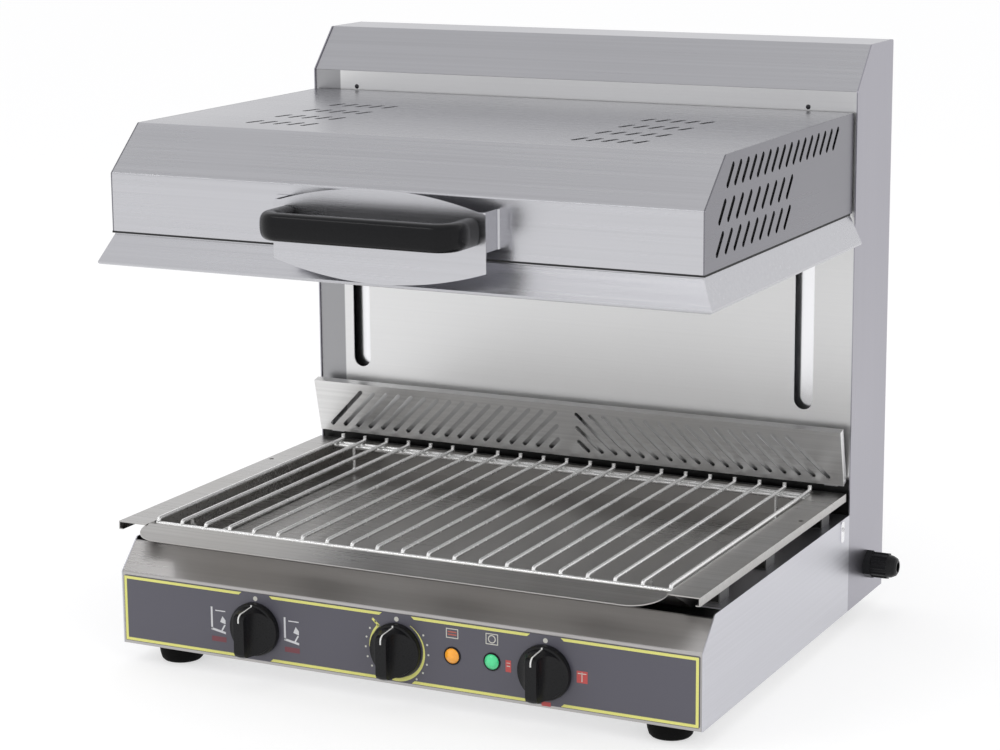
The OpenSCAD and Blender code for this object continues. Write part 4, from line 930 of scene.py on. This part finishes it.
# %% The tree that bends and repeats a wire
wire_tree, start, end = new_tree("bent_wires", [
    ("Wires", "Int"), ("Step", "Vector"), ("Wire radius", "Float"), ("Bend radius", "Float"),
    ("Material", "Material")])
given = start.outputs
line = add_node(wire_tree, "GeometryNodeMeshToCurve", {"Mesh": given["Geometry"]})
rounded = add_node(wire_tree, "GeometryNodeFilletCurve", {
    "Curve": line.outputs[0], "Count": 6, "Radius": given["Bend radius"],
    "Limit Radius": True}, mode="POLY")
section = add_node(wire_tree, "GeometryNodeCurvePrimitiveCircle", {
    "Resolution": 12, "Radius": given["Wire radius"]})
sweep = add_node(wire_tree, "GeometryNodeCurveToMesh", {
    "Curve": rounded.outputs[0], "Profile Curve": section.outputs[0], "Fill Caps": True})
row = add_node(wire_tree, "GeometryNodeMeshLine", {"Count": given["Wires"],
                                                   "Offset": given["Step"]})
stand = add_node(wire_tree, "GeometryNodeInstanceOnPoints", {
    "Points": row.outputs[0], "Instance": sweep.outputs[0]})
close_tree(wire_tree, start, end, stand.outputs[0], smooth=True)

# %% Long wires, cross wires and skids
low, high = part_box("wire_rack")
WIRE, CROSS, SKID = 2 * MM, 2.25 * MM, 1.8 * MM
BEND, HOOK, SKID_BEND, WIRES = 2.5 * MM, 5 * MM, 4 * MM, 21
mid = (low.x + high.x) / 2
half = (high.x - low.x) / 2 - CROSS
wire_z = high.z - HOOK
front, rear = low.y + CROSS, high.y - WIRE
step = 2 * half / (WIRES - 1)
rack_pieces = []

def rack_wires(name, verts, edges, count, step_x, radius, bend):
    rack_pieces.append(grown(name, wire_tree, verts, edges, {
        "Wires": count, "Step": (step_x, 0, 0), "Wire radius": radius, "Bend radius": bend,
        "Material": wire_bright}, "rack"))

first = mid - half
rack_wires("rack_long_wires", [(first, front, wire_z - BEND), (first, front, wire_z),
                               (first, rear, wire_z), (first, rear, wire_z + HOOK)],
           [(0, 1), (1, 2), (2, 3)], WIRES, step, WIRE, BEND)
under = wire_z - WIRE - CROSS
cross_places = [(front, wire_z - BEND - CROSS), (rear - BEND - CROSS, under),
                (rear - BEND - 3.5 * CROSS - 4 * MM, under)]
verts = [(mid + s * (half + CROSS), y, z) for y, z in cross_places for s in (-1, 1)]
rack_wires("rack_cross_wires", verts, [(0, 1), (2, 3), (4, 5)], 1, 0, CROSS, 0)
skid_z, skid_top = low.z + SKID, wire_z - WIRE
leg, foot, skid_x = front + 17 * MM, rear - 24 * MM, first + step
skid = [(skid_x, leg, skid_top), (skid_x, leg, skid_top - 4 * MM),
        (skid_x, leg + 25 * MM, skid_z), (skid_x, foot, skid_z), (skid_x, foot, skid_top)]
rack_wires("rack_skids", skid, [(0, 1), (1, 2), (2, 3), (3, 4)], 2, 2 * (half - step),
           SKID, SKID_BEND)
for piece in rack_pieces:
    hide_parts("wire_rack")
print("rack pieces:", len(rack_pieces), "wire step", round(step / MM, 2), "mm")

# %% [markdown]
# ## Screws
# The rear cover is held by eight screws with a cross recess, the tower's panel by
# two small dark ones above the hood, and a tab on each side of the base by one. One
# head is modelled for each size, and a tree stands a copy on every point, turned to
# face the way the sheet does. The recess is cut with a Boolean, since a cross has no
# simple section to turn.

# %% One screw head with a cross recess
def screw_head(radius, height, shank_r, shank):
    """A domed head along +Z with its shank below, and a cross cut into the dome."""
    profile = [(0, height), (radius * 0.45, height * 0.94), (radius * 0.8, height * 0.68),
               (radius, height * 0.15), (radius, 0), (shank_r, 0), (shank_r, -shank), (0, -shank)]
    shape = spun([(r, 0, z) for r, z in profile], (0, 0, 1), 20, closed=False)
    head = painted("screw_pattern", shape)
    cross, arm, half = bmesh.new(), radius * 0.62, radius * 0.13
    for w, d in ((arm, half), (half, arm)):
        bmesh.ops.create_cube(cross, size=2, matrix=Matrix.Translation((0, 0, height * 1.3))
                              @ Matrix.Diagonal((w, d, height * 0.75, 1)))
    cutter = painted("screw_cross", cross)
    cut = head.modifiers.new("cross", "BOOLEAN")
    cut.object = cutter
    cut.operation = "DIFFERENCE"
    cut.solver = "EXACT"
    cut.use_self = True
    mesh = evaluated(head)
    head.modifiers.clear()
    head.data = mesh
    bpy.data.objects.remove(cutter)
    return head

# %% The tree that stands a head on each point
screw_tree, start, end = new_tree("screws_on_points", [
    ("Screw", "Object"), ("Turn", "Vector"), ("Material", "Material")])
given = start.outputs
picked = add_node(screw_tree, "GeometryNodeObjectInfo", {"Object": given["Screw"],
                                                         "As Instance": True})
stand = add_node(screw_tree, "GeometryNodeInstanceOnPoints", {
    "Points": given["Geometry"], "Instance": picked.outputs["Geometry"],
    "Rotation": given["Turn"]})
close_tree(screw_tree, start, end, stand.outputs[0])

def screws(name, places, head, turn, paint):
    """Copies of one head on the body, each turned by the same angles."""
    return grown(name, screw_tree, places, [], {"Screw": head, "Turn": turn, "Material": paint},
                 "body")

# %% Eight cover screws, and the small ones in front and at the side
low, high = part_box("cover_screws")
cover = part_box("rear_cover")[1].y
rim_r = 3.8 * MM
columns = (low.x + rim_r, high.x - rim_r)
rows = [low.z + rim_r + k * (high.z - low.z - 2 * rim_r) / 3 for k in range(4)]
head = screw_head(rim_r, high.y - cover, 2 * MM, cover - low.y)
cover_piece = screws("rear_screws", [(x, cover, z) for x in columns for z in rows], head,
                     (-math.pi / 2, 0, 0), turned)
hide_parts("cover_screws")
bpy.data.objects.remove(head)

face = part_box("tower_front_panel")[0].y
centre = (columns[0] + columns[1]) / 2
hood_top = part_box("hood_top_shell")[1].z
dark_screw = mottled("screw_blackened", (0.05, 0.05, 0.055), 1.0, 0.35, 400, 0.1)
head = screw_head(2.4 * MM, 1.2 * MM, 1.2 * MM, 1.0 * MM)
tower_places = [(centre + s * 249.5 * MM, face, hood_top + 3.5 * MM) for s in (-1, 1)]
screws("tower_screws", tower_places, head, (math.pi / 2, 0, 0), dark_screw)
base_high, left_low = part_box("base_side_right")[1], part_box("base_side_left")[0]
screw_y, screw_z, CLIP = base_high.y - 22 * MM, base_high.z - 9 * MM, 1.0 * MM
# The tab's corners round its screw: shares of 4.5 mm in Y, mm in Z.
corners = ((-0.6, -13), (0.6, -13), (1, -11), (1, 6), (0.6, 8), (-0.6, 8), (-1, 6), (-1, -11))
tab = [(screw_y + 4.5 * MM * a, screw_z + b * MM) for a, b in corners]
for side, x, out in (("right", base_high.x, 1), ("left", left_low.x, -1)):
    screws("side_screw_" + side, [(x + out * CLIP, screw_y, screw_z)], head,
           (0, out * math.pi / 2, 0), turned)
    clip = [[(at, y, z) for y, z in tab] for at in (x, x + out * CLIP)]
    settled(lofted("side_clip_" + side, [clip], steel_bright), "body")
bpy.data.objects.remove(head)
print("screws:", len(columns) * len(rows) + 4)
